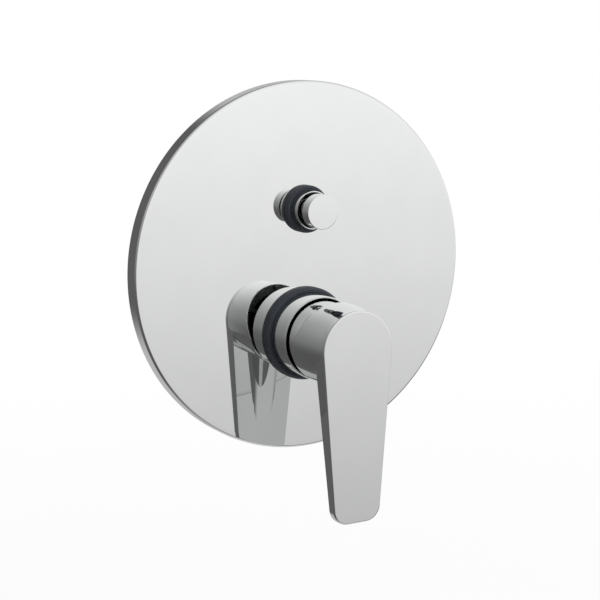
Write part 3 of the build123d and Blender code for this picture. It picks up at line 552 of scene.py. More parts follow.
def turned_brass_finish(finishes):
    """Machined brass with fine tool marks."""
    finish, tree, shader, place = new_finish("turned_brass")
    tone = tuple(finishes.brass)
    shader.inputs["Metallic"].default_value = 1.0
    marks = grain(tree, place, size=0.35 * MM, detail=2.0)
    cut_tone = tones(tree, marks, tone, dark=0.98, light=1.15)
    # Painted shade: the turned brass turns near black in front of the wall, inside the sleeves.
    tree.links.new(sleeve_shaded(tree, place, cut_tone), shader.inputs["Base Color"])
    tree.links.new(levels(tree, marks, low=0.2, high=0.3), shader.inputs["Roughness"])
    relief(tree, shader, marks, depth=0.01 * MM)
    return finish


def steel_finish(finishes):
    """Drawn stainless steel."""
    finish, tree, shader, place = new_finish("drawn_steel")
    tone = tuple(finishes.steel)
    shader.inputs["Metallic"].default_value = 1.0
    marks = grain(tree, place, size=0.5 * MM, detail=4.0)
    tree.links.new(tones(tree, marks, tone, dark=0.9, light=1.1), shader.inputs["Base Color"])
    tree.links.new(levels(tree, marks, low=0.22, high=0.36), shader.inputs["Roughness"])
    return finish


def soft_finish(name, tone, rough, grain_size, grain_depth):
    """Matt rubber, foam or plastic with a fine moulded grain."""
    finish, tree, shader, place = new_finish(name)
    shader.inputs["Specular IOR Level"].default_value = 0.4
    spread = 0.07
    clouds = grain(tree, place, size=9 * MM, detail=3.0)
    skin = grain(tree, place, grain_size, detail=5.0)
    tree.links.new(tones(tree, clouds, tone, dark=0.85, light=1.15), shader.inputs["Base Color"])
    tree.links.new(levels(tree, skin, rough - spread, rough + spread), shader.inputs["Roughness"])
    relief(tree, shader, skin, grain_depth)
    return finish


def make_finishes(finishes):
    """Every finish, by the name of its slot in the record or of its own."""
    made = {
        "chrome": chrome_finish(finishes),
        "raw_casting": raw_casting_finish(finishes),
        "cast_brass": cast_brass_finish(finishes),
        "brass": turned_brass_finish(finishes),
        "steel": steel_finish(finishes),
    }
    # Name, colour, roughness, size of the grain and its depth
    soft = (
        ("gasket_rubber", finishes.gasket, 0.5, 0.4 * MM, 0.01 * MM),
        ("seal_rubber", finishes.seal, 0.45, 0.3 * MM, 0.008 * MM),
        ("foam", finishes.foam, 0.9, 0.7 * MM, 0.2 * MM),
        ("cartridge_plastic", finishes.plastic, 0.42, 0.5 * MM, 0.01 * MM),
        ("ceramic", finishes.ceramic, 0.16, 0.3 * MM, 0.002 * MM),
        ("plug_plastic", finishes.plug, 0.4, 0.5 * MM, 0.01 * MM),
    )
    for row in soft:
        made[row[0]] = soft_finish(*row)
    return made


# Pieces

FINISHES = {}


class MIXER_OT_finishes(Operator):
    """Make the finishes and give each solid that stays in view its own"""

    bl_idname = "mixer.finishes"
    bl_label = "Finishes"

    def execute(self, context):
        FINISHES.update(make_finishes(context.scene.mixer_finishes))
        for row in frame["record"]["subparts"]:
            solid = frame["nodes"][row["node"]]
            solid.data.materials.clear()
            solid.data.materials.append(FINISHES[row["material_slot"]])
        return {"FINISHED"}


class MIXER_OT_cover_plate(Operator):
    """Model the pressed cover plate: flat face, rounded edge, skirt and two holes"""

    bl_idname = "mixer.cover_plate"
    bl_label = "Cover plate"

    def execute(self, context):
        plate = context.scene.mixer_plate
        controls = context.scene.mixer_controls
        fine = plate.fine_round
        back = plate.front - plate.wall
        inner = plate.radius - plate.wall
        margin = inner - 2 * plate.edge_round
        bm = turned(
            [
                (margin, plate.front, 0),
                (plate.radius, plate.front, plate.edge_round),
                (plate.radius, PLATE_REAR, fine),
                (inner, PLATE_REAR, fine),
                (inner, back, plate.edge_round / 2),
                (margin, back, 0),
            ],
            0, PLATE_SEGMENTS, closed=False, round_steps=PLATE_ROUND_STEPS,
        )
        sleeves = ((LEVER_SLEEVE_RADIUS, LEVER_AXIS), (DIVERTER_SLEEVE_RADIUS, DIVERTER_AXIS))
        for radius, height in sleeves:
            hole = radius + controls.neck + controls.fit
            rim = hole + 2 * fine
            section = [
                (rim, plate.front, 0),
                (hole, plate.front, fine),
                (hole, back, fine),
                (rim, back, 0),
            ]
            join(bm, turned(section, height, closed=False, round_steps=FINE_ROUND_STEPS))
        for place in (plate.front, back):
            bmesh.ops.triangle_fill(
                bm, use_beauty=True, use_dissolve=False, edges=open_edges(bm, place), normal=FACING
            )
        tidy(bm)
        for face in bm.faces:
            middle = face.calc_center_median()
            if middle.y > -(back + fine) and math.hypot(middle.x, middle.z) < inner + fine / 2:
                face.material_index = 1
        skins = [FINISHES["chrome"], FINISHES["raw_casting"]]
        make_piece(bm, "plate_shell", "fixed", skins, ["cover_plate"])
        return {"FINISHED"}


class MIXER_OT_foam_seal(Operator):
    """Model the foam ring behind the plate"""

    bl_idname = "mixer.foam_seal"
    bl_label = "Foam seal"

    def execute(self, context):
        plate = context.scene.mixer_plate
        inner = SEAL_RADIUS - plate.seal_width
        rounding = plate.seal_round
        section = [
            (inner, SEAL_REAR, rounding),
            (SEAL_RADIUS, SEAL_REAR, rounding),
            (SEAL_RADIUS, SEAL_FRONT, rounding / 2),
            (inner, SEAL_FRONT, rounding / 2),
        ]
        bm = turned(section, 0, SEAL_SEGMENTS)
        seal = make_piece(bm, "foam_ring", "fixed", [FINISHES["foam"]], ["plate_seal"])
        return {"FINISHED"}


def gasket_section(controls, sleeve, outer, rear, front, rounding, plate):
    """Half section of a gasket: rear lip, neck in the plate, flange and a wiper at the sleeve."""
    inner = sleeve + controls.fit
    lip = sleeve + controls.lip
    neck = sleeve + controls.neck
    back = plate.front - plate.wall
    wiper = inner + controls.wiper_width
    groove = controls.wiper_groove
    fine = plate.fine_round
    return [
        (inner, rear, fine),
        (lip, rear, 2 * fine),
        (lip, back, fine),
        (neck, back, 0),
        (neck, plate.front, 0),
        (outer, plate.front, fine),
        (outer, front, rounding),
        (wiper + groove / 2, front, 0),
        (wiper + groove / 4, front - groove, 0),
        (wiper, front, fine / 2),
        (inner, front, fine),
    ]


class MIXER_OT_gaskets(Operator):
    """Model the two rubber gaskets in the plate's holes"""

    bl_idname = "mixer.gaskets"
    bl_label = "Gaskets"

    def execute(self, context):
        plate = context.scene.mixer_plate
        controls = context.scene.mixer_controls
        lever = gasket_section(
            controls, LEVER_SLEEVE_RADIUS, LEVER_GASKET_RADIUS, LEVER_GASKET_REAR,
            LEVER_GASKET_FRONT, controls.lever_gasket_round, plate,
        )
        diverter = gasket_section(
            controls, DIVERTER_SLEEVE_RADIUS, DIVERTER_GASKET_RADIUS, DIVERTER_GASKET_REAR,
            DIVERTER_GASKET_FRONT, controls.diverter_gasket_round, plate,
        )
        rubber = [FINISHES["gasket_rubber"]]
        make_piece(
            turned(lever, LEVER_AXIS, SLEEVE_SEGMENTS), "lever_bush", "fixed",
            rubber, ["lever_gasket"],
        )
        make_piece(
            turned(diverter, DIVERTER_AXIS), "diverter_bush", "fixed", rubber,
            ["diverter_gasket"],
        )
        return {"FINISHED"}


class MIXER_OT_sleeves(Operator):
    """Model the chrome sleeves round the lever's cartridge and the diverter"""

    bl_idname = "mixer.sleeves"
    bl_label = "Sleeves"

    def execute(self, context):
        controls = context.scene.mixer_controls
        rounding = controls.sleeve_round
        bore = LEVER_SLEEVE_RADIUS - controls.lever_sleeve_wall
        lever = [
            (bore, LEVER_SLEEVE_REAR, rounding / 2),
            (LEVER_SLEEVE_RADIUS, LEVER_SLEEVE_REAR, rounding / 2),
            (LEVER_SLEEVE_RADIUS, LEVER_SLEEVE_FRONT, rounding),
            (bore, LEVER_SLEEVE_FRONT, rounding),
        ]
        bore = DIVERTER_SLEEVE_RADIUS - controls.diverter_sleeve_wall
        rounding = rounding / 2
        diverter = [
            (bore, DIVERTER_SLEEVE_REAR, rounding),
            (DIVERTER_SLEEVE_RADIUS, DIVERTER_SLEEVE_REAR, rounding),
            (DIVERTER_SLEEVE_RADIUS, DIVERTER_SLEEVE_FRONT, rounding),
            (bore, DIVERTER_SLEEVE_FRONT, rounding),
        ]
        chrome = [FINISHES["chrome"]]
        make_piece(
            turned(lever, LEVER_AXIS, SLEEVE_SEGMENTS), "lever_tube", "fixed", chrome,
            ["lever_sleeve"],
        )
        make_piece(
            turned(diverter, DIVERTER_AXIS), "diverter_tube", "fixed", chrome,
            ["diverter_sleeve"],
        )
        return {"FINISHED"}


class MIXER_OT_dome_ring(Operator):
    """Model the chrome dome that closes the gap between sleeve and hub"""

    bl_idname = "mixer.dome_ring"
    bl_label = "Dome ring"

    def execute(self, context):
        controls = context.scene.mixer_controls
        centre = Vector((0, -PIVOT, LEVER_AXIS))
        hollow = DOME_RADIUS - controls.dome_wall
        bm = bmesh.new()
        rims = []
        for radius in (DOME_RADIUS, hollow):
            start = bm.verts.new(centre + Vector((radius, 0, 0)))
            turn = math.acos(controls.dome_opening / radius)
            rims.append((start, arc(bm, start, centre, turn, DOME_STEPS, axis=(0, 0, -1))[1]))
        bore = controls.dome_bore
        corners = ((DOME_RADIUS, DOME_REAR), (bore, DOME_REAR), (bore, PIVOT))
        skirt = [bm.verts.new((radius, -place, LEVER_AXIS)) for radius, place in corners]
        (outer, outer_end), (inner, inner_end) = rims
        run = [outer, *skirt, inner]
        for pair in [*zip(run, run[1:]), (outer_end, inner_end)]:
            bm.edges.new(pair)
        spin_section(bm, LEVER_AXIS, SLEEVE_SEGMENTS)
        make_piece(bm, "dome_shell", "fixed", [FINISHES["chrome"]], ["dome_ring"])
        return {"FINISHED"}


class MIXER_OT_button(Operator):
    """Model the diverter's push button"""

    bl_idname = "mixer.button"
    bl_label = "Push button"

    def execute(self, context):
        controls = context.scene.mixer_controls
        head_rear = BUTTON_FRONT - controls.head_length
        socket_end = BUTTON_FRONT - controls.head_length / 2
        section = [
            (0, BUTTON_FRONT, 0),
            (BUTTON_RADIUS, BUTTON_FRONT, controls.head_round),
            (BUTTON_RADIUS, head_rear, controls.head_round),
            (controls.button_neck, head_rear, 0),
            (controls.button_neck, BUTTON_REAR, controls.head_round / 2),
            (controls.button_socket, BUTTON_REAR, 0),
            (controls.button_socket, socket_end, 0),
            (0, socket_end, 0),
        ]
        bm = turned(section, DIVERTER_AXIS, closed=False)
        make_piece(bm, "button_cap", "button", [FINISHES["chrome"]], ["diverter_button"])
        return {"FINISHED"}


class MIXER_OT_spring(Operator):
    """Model the diverter's coil spring, at its rest length"""

    bl_idname = "mixer.spring"
    bl_label = "Spring"

    def execute(self, context):
        controls = context.scene.mixer_controls
        wire = controls.spring_wire
        start = SPRING_REAR + wire
        rise = SPRING_FRONT - wire - start
        steps = COIL_SEGMENTS * controls.spring_coils
        bm = bmesh.new()
        place = Matrix.Translation((SPRING_RADIUS - wire, -start, DIVERTER_AXIS))
        bmesh.ops.create_circle(
            bm, cap_ends=False, segments=WIRE_SEGMENTS, radius=wire, matrix=place
        )
        bmesh.ops.spin(
            bm, geom=bm.verts[:] + bm.edges[:], cent=(0, 0, DIVERTER_AXIS), axis=FACING,
            dvec=FACING * (rise / steps), angle=math.tau * controls.spring_coils, steps=steps,
            use_merge=False,
        )
        bmesh.ops.holes_fill(bm, edges=open_edges(bm), sides=0)
        tidy(bm)
        steel = [FINISHES["steel"]]
        coil = make_piece(bm, "coil_spring", "fixed", steel, ["diverter_spring"])
        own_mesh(coil)
        return {"FINISHED"}


def barrel_radius(lever, place):
    """Radius of the hub's outside, which swells a little between its ends."""
    front = LEVER_FRONT - lever.head_thickness
    along = (front - place) / (front - HUB_REAR)
    taper = lever.head_radius + (HUB_RADIUS - lever.head_radius) * along
    return taper + 4 * lever.bulge * along * (1 - along)


def hub_barrel(lever):
    """Solid barrel of the hub, cut along its slanted rim. Its front end is in the lever's head."""
    front = LEVER_FRONT - lever.head_thickness / 2
    rings = range(BARREL_RINGS + 1)
    places = [HUB_REAR + (front - HUB_REAR) * ring / BARREL_RINGS for ring in rings]
    section = [(0, HUB_REAR, 0)]
    section += [(barrel_radius(lever, place), place, 0) for place in places]
    section += [(0, front, 0)]
    bm = turned(section, LEVER_AXIS, HUB_SEGMENTS, closed=False)
    normal = Vector((0, math.cos(lever.rim_slant), math.sin(lever.rim_slant)))
    bmesh.ops.bisect_plane(
        bm, geom=bm.verts[:] + bm.edges[:] + bm.faces[:], dist=MERGE_DISTANCE,
        plane_co=(0, -lever.rim_place, LEVER_AXIS), plane_no=normal, clear_outer=True,
    )
    bmesh.ops.holes_fill(bm, edges=open_edges(bm), sides=0)
    tidy(bm)
    rear = set(face for face in bm.faces if face.normal.y > math.cos(2 * lever.rim_slant))
    rim = [edge for edge in bm.edges if len(rear.intersection(edge.link_faces)) == 1]
    bmesh.ops.bevel(
        bm, geom=rim, offset=lever.rim_round, offset_type="OFFSET", segments=FINE_ROUND_STEPS,
        profile=0.5, affect="EDGES", material=-1,
    )
    tidy(bm)
    return bm


def lever_side_lean(lever, tip_drop):
    """Angle below the horizontal at which the lever's straight sides leave its round head."""
    tip_x = lever.tip_flat / 2
    apart = math.hypot(tip_x, tip_drop)
    fall = math.atan2(tip_drop, tip_x)
    return fall - math.acos((lever.head_radius - lever.tip_corner) / apart)


def lever_outline(bm, lever, place):
    """Closed loop of the lever's outline: round head, straight sides, tip with round corners."""
    tip_drop = LEVER_AXIS - LEVER_TIP - lever.tip_corner
    lean = lever_side_lean(lever, tip_drop)
    centre = Vector((0, -place, LEVER_AXIS))
    tip_left = centre + Vector((-lever.tip_flat / 2, 0, -tip_drop))
    tip_right = centre + Vector((lever.tip_flat / 2, 0, -tip_drop))
    right = Vector((math.cos(lean), 0, -math.sin(lean)))
    left = Vector((-right.x, 0, right.z))
    corner_turn = math.pi / 2 - lean
    head_right = bm.verts.new(centre + lever.head_radius * right)
    left_start = bm.verts.new(tip_left + lever.tip_corner * left)
    right_start = bm.verts.new(tip_right + lever.tip_corner * Vector((0, 0, -1)))
    head, head_left = arc(bm, head_right, centre, math.pi + 2 * lean, HEAD_STEPS)
    left_corner, left_end = arc(bm, left_start, tip_left, corner_turn, CORNER_STEPS)
    right_corner, right_end = arc(bm, right_start, tip_right, corner_turn, CORNER_STEPS)
    loop = head + left_corner + right_corner
    for ends in ((head_left, left_start), (left_end, right_start), (right_end, head_right)):
        loop.append(bm.edges.new(ends))
    return loop


def lever_slab(lever):
    """Lever with a flat front, rounded along its front edge, and thinner towards its tip."""
    bm = bmesh.new()
    front = lever_outline(bm, lever, LEVER_FRONT)
    bmesh.ops.contextual_create(bm, geom=front)
    back = pushed_loop(bm, front, lever.root_thickness * DEPTH_AXIS)
    bmesh.ops.contextual_create(bm, geom=back)
    slope = math.atan2(lever.root_thickness - lever.tip_thickness, LEVER_AXIS - LEVER_TIP)
    bmesh.ops.bisect_plane(
        bm, geom=bm.verts[:] + bm.edges[:] + bm.faces[:], dist=MERGE_DISTANCE,
        plane_co=(0, lever.root_thickness - LEVER_FRONT, LEVER_AXIS),
        plane_no=(0, math.cos(slope), -math.sin(slope)), clear_outer=True,
    )
    bmesh.ops.holes_fill(bm, edges=open_edges(bm), sides=0)
    front_face = min(bm.faces, key=lambda face: face.calc_center_median().y)
    front = list(front_face.edges)
    bmesh.ops.bevel(
        bm, geom=front, offset=lever.edge_round, offset_type="OFFSET", segments=EDGE_ROUND_STEPS,
        profile=0.5, affect="EDGES", material=-1,
    )
    tidy(bm)
    return bm


def hub_cavity(lever):
    """Space inside the hub, round its boss."""
    ceiling = LEVER_FRONT - lever.front_wall
    step = ceiling - lever.boss_length
    mouth = DOME_RADIUS + lever.dome_gap
    section = [
        (0, PLATE_FRONT, 0),
        (mouth, PLATE_FRONT, 0),
        (mouth, lever.wide_front, 0),
        (lever.inner_radius, lever.wide_front, 0),
        (lever.inner_radius, ceiling, 0),
        (lever.boss_radius, ceiling, 0),
        (lever.boss_radius, step, 0),
        (0, step, 0),
    ]
    return turned(section, LEVER_AXIS, HUB_SEGMENTS, closed=False)


def box_shape(size, place):
    """Closed box, from its size and a matrix."""
    bm = bmesh.new()
    bmesh.ops.create_cube(bm, size=1, matrix=place @ Matrix.Diagonal((*size, 1)))
    return bm


def rod_shape(radius, extent, place):
    """Closed round bar along X from the place's origin."""
    bm = bmesh.new()
    lying = Matrix.Translation((extent / 2, 0, 0)) @ Matrix.Rotation(math.pi / 2, 4, "Y")
    bmesh.ops.create_cone(
        bm, cap_ends=True, cap_tris=False, segments=ROD_SEGMENTS, radius1=radius, radius2=radius,
        depth=extent, matrix=place @ lying,
    )
    return bm


def hub_webs(lever):
    """Six walls between the boss and the inside of the hub, hollowed to clear the dome."""
    count = 6
    ceiling = LEVER_FRONT - lever.front_wall * 3 / 4
    inner = lever.socket_width * 0.75
    mouth = DOME_RADIUS + lever.dome_gap
    outer = (mouth + lever.head_radius) / 2
    bm = bmesh.new()
    for i in range(count):
        turn = Matrix.Rotation((i + 0.5) * math.tau / count, 4, "Y")
        place = Matrix.Translation((0, -(ceiling + lever.web_rear) / 2, LEVER_AXIS)) @ turn
        place = place @ Matrix.Translation(((inner + outer) / 2, 0, 0))
        join(bm, box_shape((outer - inner, ceiling - lever.web_rear, lever.web_thickness), place))
    ball = bmesh.new()
    bmesh.ops.create_uvsphere(
        ball, u_segments=HUB_SEGMENTS // 2, v_segments=HUB_SEGMENTS // 4, radius=mouth,
        matrix=Matrix.Translation((0, -PIVOT, LEVER_AXIS)),
    )
    return combined(bm, ball, "DIFFERENCE")


def rib_section(bm, lever, height, half_width, depth):
    """Closed loop of the rib's section: flat front inside the lever, convex back."""
    buried = LEVER_FRONT - lever.head_thickness / 2
    sagitta = depth + lever.head_thickness / 2
    radius = (half_width ** 2 + sagitta ** 2) / (2 * sagitta)
    centre = Vector((0, -(buried - sagitta + radius), height))
    turn = 2 * math.asin(half_width / radius)
    start = bm.verts.new((half_width, -buried, height))
    loop, end = arc(bm, start, centre, turn, RIB_STEPS, axis=(0, 0, 1))
    loop.append(bm.edges.new((end, start)))
    return loop


def lever_rib(lever):
    """Convex rib behind the lever, from the hub to near the tip."""
    bm = bmesh.new()
    wide = rib_section(bm, lever, LEVER_AXIS, lever.head_radius - lever.rib_inset, lever.rib_depth)
    end = LEVER_TIP + lever.rib_end_gap
    narrow = rib_section(bm, lever, end, lever.rib_end_half, lever.rib_end_depth)
    bmesh.ops.bridge_loops(bm, edges=wide + narrow)
    long_edges = [edge for edge in bm.edges if edge.calc_length() > (LEVER_AXIS - end) / 2]
    bmesh.ops.subdivide_edges(bm, edges=long_edges, cuts=RIB_CUTS, use_grid_fill=True)
    bmesh.ops.holes_fill(bm, edges=bm.edges[:], sides=0)
    tidy(bm)
    return bm


def socket_and_screw_holes(lever):
    """Cutters for the stem's square socket, the grub screw and, further out, its plug."""
    step = LEVER_FRONT - lever.front_wall - lever.boss_length
    place = (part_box("screw_plug")[0].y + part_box("screw_plug")[1].y) / 2
    inner = Matrix.Translation((0, place, LEVER_AXIS))
    outer = Matrix.Translation((lever.boss_radius, place, LEVER_AXIS))
    bm = rod_shape(lever.screw_hole, lever.boss_radius + MM, inner)
    bm = combined(bm, rod_shape(lever.plug_hole, 2 * HUB_RADIUS, outer), "UNION")
    width = lever.socket_width
    middle = Matrix.Translation((0, -(step + lever.boss_length / 2), LEVER_AXIS))
    return combined(bm, box_shape((width, lever.boss_length, width), middle), "UNION")


class MIXER_OT_lever_handle(Operator):
    """Model the lever handle: flat lever, barrel hub with its inside, and the rib behind"""

    bl_idname = "mixer.lever_handle"
    bl_label = "Lever handle"

    def execute(self, context):
        lever = context.scene.mixer_lever
        bm = combined(hub_barrel(lever), lever_slab(lever), "UNION")
        bm = combined(bm, lever_rib(lever), "UNION")
        bm = combined(bm, hub_cavity(lever), "DIFFERENCE")
        bm = combined(bm, hub_webs(lever), "UNION")
        bm = combined(bm, socket_and_screw_holes(lever), "DIFFERENCE")
        self.paint_inside(bm, lever)
        finishes = [FINISHES["chrome"], FINISHES["raw_casting"]]
        make_piece(bm, "lever_casting", "lever", finishes, ["lever_handle"])
        return {"FINISHED"}

    def paint_inside(self, bm, lever):
        """Gives the inside of the hub the raw casting's finish."""
        skin = 0.5 * MM
        ceiling = LEVER_FRONT - lever.front_wall / 2
        for face in bm.faces:
            middle = face.calc_center_median()
            radius = math.hypot(middle.x, middle.z - LEVER_AXIS)
            inside = -middle.y < ceiling and radius < barrel_radius(lever, -middle.y) - skin
            face.material_index = 1 if inside else 0


class MIXER_OT_screw_plug(Operator):
    """Model the small plug over the grub screw"""

    bl_idname = "mixer.screw_plug"
    bl_label = "Screw plug"

    def execute(self, context):
        low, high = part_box("screw_plug")
        radius = (high.z - low.z) / 2
        depth = high.x - low.x
        fine = 0.25 * MM
        recess = radius / 3
        section = [
            (0, 0, 0),
            (radius, 0, fine),
            (radius, depth, fine),
            (recess + fine, depth, fine / 2),
            (recess, depth - fine, 0),
            (0, depth - fine, 0),
        ]
        bm = turned(section, 0, ROD_SEGMENTS, closed=False, round_steps=FINE_ROUND_STEPS)
        place = Matrix.Translation((low.x, (low.y + high.y) / 2, (low.z + high.z) / 2))
        place = place @ Matrix.Rotation(math.pi / 2, 4, "Z")
        bmesh.ops.transform(bm, matrix=place, verts=bm.verts[:])
        plastic = [FINISHES["plug_plastic"]]
        make_piece(bm, "plug_disc", "lever", plastic, ["screw_plug"])
        return {"FINISHED"}


def mouth_places():
    """Name, outward matrix, bore radius and bore length of each threaded mouth."""
    for mount in frame["record"]["mounts"]:
        if mount["kind"] == "threaded_hole":
            bore = mount["dims"]["r_mm"] * MM
            depth = mount["dims"]["length_mm"] * MM
            out = Vector(mount["axis"])
            end = Vector(mount["pos_m"]) + out * depth / 2
            turn = FACING.rotation_difference(out).to_matrix().to_4x4()
            yield mount["name"], Matrix.Translation(end) @ turn, bore, depth


def thread_shape(body, bore, depth):
    """Helical pipe thread inside a mouth whose end is at the origin."""
    crest = bore
    root = bore + body.thread_depth
    pitch = body.thread_pitch
    turns = int((depth - 3 * pitch / 2) / pitch)
    bm = bmesh.new()
    tooth = ((root, 0), (root, 0.12), (crest, 0.44), (crest, 0.56), (root, 0.88), (root, 1))
    verts = [bm.verts.new((radius, pitch * (along + 0.5), 0)) for radius, along in tooth]
    edges = [bm.edges.new(pair) for pair in zip(verts, verts[1:])]
    bmesh.ops.spin(
        bm, geom=verts + edges, cent=(0, 0, 0), axis=DEPTH_AXIS,
        dvec=pitch / ROD_SEGMENTS * DEPTH_AXIS, angle=math.tau * turns, steps=ROD_SEGMENTS * turns,
        use_merge=False,
    )
    bmesh.ops.remove_doubles(bm, verts=bm.verts[:], dist=10 * MERGE_DISTANCE)
    bmesh.ops.recalc_face_normals(bm, faces=bm.faces[:])
    bmesh.ops.solidify(bm, geom=bm.faces[:], thickness=body.thread_depth / 4)
    bmesh.ops.recalc_face_normals(bm, faces=bm.faces[:])
    return bm


class MIXER_OT_mouths(Operator):
    """Model the machined collar and pipe thread of each mouth"""

    bl_idname = "mixer.mouths"
    bl_label = "Threaded mouths"

    def execute(self, context):
        body = context.scene.mixer_body
        chamfer = body.thread_depth
        rear_round = 0.2 * MM
        front_round = 0.6 * MM
        for name, place, bore, depth in mouth_places():
            wide = bore + body.thread_depth
            section = [
                (wide, -body.collar_length, 0),
                (body.collar_radius, -body.collar_length, rear_round),
                (body.collar_radius, 0, front_round),
                (wide + chamfer, 0, 0),
                (wide, -chamfer, 0),
            ]
            bm = turned(section, 0, round_steps=FINE_ROUND_STEPS)
            join(bm, thread_shape(body, bore, depth))
            bmesh.ops.transform(bm, matrix=place, verts=bm.verts[:])
            make_piece(bm, f"{name}_mouth", "fixed", [FINISHES["brass"]], ["valve_body"])
        return {"FINISHED"}


class MIXER_OT_casting(Operator):
    """Model the cast body in the wall, with the soft edges of a casting"""

    bl_idname = "mixer.casting"
    bl_label = "Body casting"

    def execute(self, context):
        body = context.scene.mixer_body
        thread_room = 1.3
        bm = bmesh.new()
        bm.from_mesh(frame["nodes"]["valve_body"].data)
        bmesh.ops.remove_doubles(bm, verts=bm.verts[:], dist=MERGE_DISTANCE)
        cutters = bmesh.new()
        for name, place, bore, depth in mouth_places():
            inward = place @ Matrix.Rotation(math.pi / 2, 4, "Z") @ Matrix.Translation((-MM, 0, 0))
            wide = bore + body.thread_depth * thread_room
            join(cutters, rod_shape(wide, depth + MM, inward))
        bm = combined(bm, cutters, "DIFFERENCE")

        def soften(work):
            cells = work.modifiers.new("cells", "REMESH")
            cells.mode = "VOXEL"
            cells.voxel_size = body.voxel
            soft = work.modifiers.new("soft", "SMOOTH")
            soft.factor = 0.5
            soft.iterations = 6

        bm = reshaped(bm, soften)
        for face in bm.faces:
            face.material_index = 0
        make_piece(bm, "body_casting", "fixed", [FINISHES["cast_brass"]], ["valve_body"])
        return {"FINISHED"}


# Stage

# What polished metal sees on the right and the left: pairs of a direction's height and a level
BRIGHT_SIDE = (
    (-1.0, 0.8), (-0.7, 0.65), (-0.58, 0.14), (-0.352, 0.13), (-0.322, 0.55), (-0.24, 0.67),
    (-0.15, 0.82), (-0.035, 0.99), (0.0, 1.0), (0.15, 0.95), (1.0, 0.85),
)
DIM_SIDE = (
    (-1.0, 0.07), (-0.5, 0.1), (-0.3, 0.11), (-0.2, 0.14), (-0.05, 0.22), (0.13, 0.28),
    (0.4, 0.4), (1.0, 0.55),
)
# The two sides meet between these values of a direction's X.
SIDE_BLEND = (-0.5, 0.35)
# The room meets what is behind the wall between these values of its Y.
WALL_BLEND = (-0.15, 0.25)
# Behind the wall the level rises across a slanted line.
BEHIND_SLANT = -0.48
BEHIND_BLEND = (-0.22, 0.1)
BEHIND_LEVELS = (0.115, 0.5)

WHITE = (1, 1, 1, 1)
ORIGIN = Vector((0, 0, 0))
FLOOR_SEGMENTS = 128
# The camera sees the floor as white by a share that grows between a near and a far distance.
FLOOR_NEAR = 0.2
FLOOR_FAR_SHARE = 0.6
FLOOR_WHITE = (0.9, 1.0)
LAMP_WIDTH = 0.9
LAMP_PLACE = Vector((0.45, -0.9, 0.9))
SENSOR_WIDTH = 36.0
CLIP_START = 0.01


def shade_by_height(tree, height, stops):
    """Grey that follows the height of a direction, from pairs of height and level."""
    spread = add_node(
        tree, "ShaderNodeMapRange", {"Value": height, "From Min": -1.0, "From Max": 1.0}
    )
    ramp = add_node(tree, "ShaderNodeValToRGB", {"Fac": spread.outputs["Result"]})
    elements = ramp.color_ramp.elements
    while len(elements) < len(stops):
        elements.new(0.5)
    for element, (up, level) in zip(elements, stops):
        element.position = (up + 1) / 2
        element.color = (level, level, level, 1)
    return ramp.outputs["Color"]


def surround_colour(tree):
    """What polished metal sees: bright on the right, dim on the left, below and behind the wall."""
    direction = add_node(tree, "ShaderNodeTexCoord").outputs["Generated"]
    parts = add_node(tree, "ShaderNodeSeparateXYZ", {"Vector": direction})
    across, inwards, height = parts.outputs
    dim = shade_by_height(tree, height, DIM_SIDE)
    bright = shade_by_height(tree, height, BRIGHT_SIDE)
    room = mixed(tree, soft_step(tree, across, *SIDE_BLEND), dim, bright)
    lean = add_node(
        tree, "ShaderNodeMath", {0: height, 1: BEHIND_SLANT, 2: across}, operation="MULTIPLY_ADD"
    )
    behind = soft_step(tree, lean.outputs["Value"], *BEHIND_BLEND, *BEHIND_LEVELS)
    return mixed(tree, soft_step(tree, inwards, *WALL_BLEND), room, behind)


def make_surround(studio):
    """World: white to the camera, graded to polished metal, an even light to the rest."""
    world = bpy.data.worlds.new("studio_surround")
    bpy.context.scene.world = world
    world.use_nodes = True
    tree = world.node_tree
    tree.nodes.clear()

    def background(shade, strength):
        made = add_node(tree, "ShaderNodeBackground", {"Color": shade, "Strength": strength})
        return made.outputs["Background"]

    path = add_node(tree, "ShaderNodeLightPath")
    fill = background(WHITE, studio.fill_light)
    reflected = background(surround_colour(tree), 1.0)
    lit = mixed_shader(tree, path.outputs["Is Glossy Ray"], fill, reflected)
    clear = add_node(
        tree, "ShaderNodeMath",
        {0: path.outputs["Is Camera Ray"], 1: path.outputs["Is Transmission Ray"]},
        operation="MAXIMUM",
    )
    shown = mixed_shader(tree, clear.outputs["Value"], lit, background(WHITE, 1.0))
    add_node(tree, "ShaderNodeOutputWorld", {"Surface": shown})


def floor_finish(studio):
    """Pale matt floor that fades into the white surround and keeps a soft shadow."""
    finish = bpy.data.materials.new("pale_floor")
    finish.use_nodes = True
    tree = finish.node_tree
    tree.nodes.clear()
    place = add_node(tree, "ShaderNodeTexCoord").outputs["Object"]
    flat = add_node(tree, "ShaderNodeVectorMath", {0: place, 1: (1, 1, 0)}, operation="MULTIPLY")
    away = add_node(
        tree, "ShaderNodeVectorMath", {0: flat.outputs["Vector"]}, operation="LENGTH"
    )
    far = FLOOR_FAR_SHARE * studio.floor_radius
    fade = soft_step(tree, away.outputs["Value"], FLOOR_NEAR, far, *FLOOR_WHITE)
    path = add_node(tree, "ShaderNodeLightPath")
    seen = add_node(
        tree, "ShaderNodeMath", {0: path.outputs["Is Camera Ray"], 1: fade}, operation="MULTIPLY"
    )
    matt = add_node(tree, "ShaderNodeBsdfDiffuse", {"Color": (*studio.floor, 1)})
    white = add_node(tree, "ShaderNodeEmission", {"Color": WHITE, "Strength": 1.0})
    surface = mixed_shader(
        tree, seen.outputs["Value"], matt.outputs["BSDF"], white.outputs["Emission"]
    )
    add_node(tree, "ShaderNodeOutputMaterial", {"Surface": surface})
    return finish


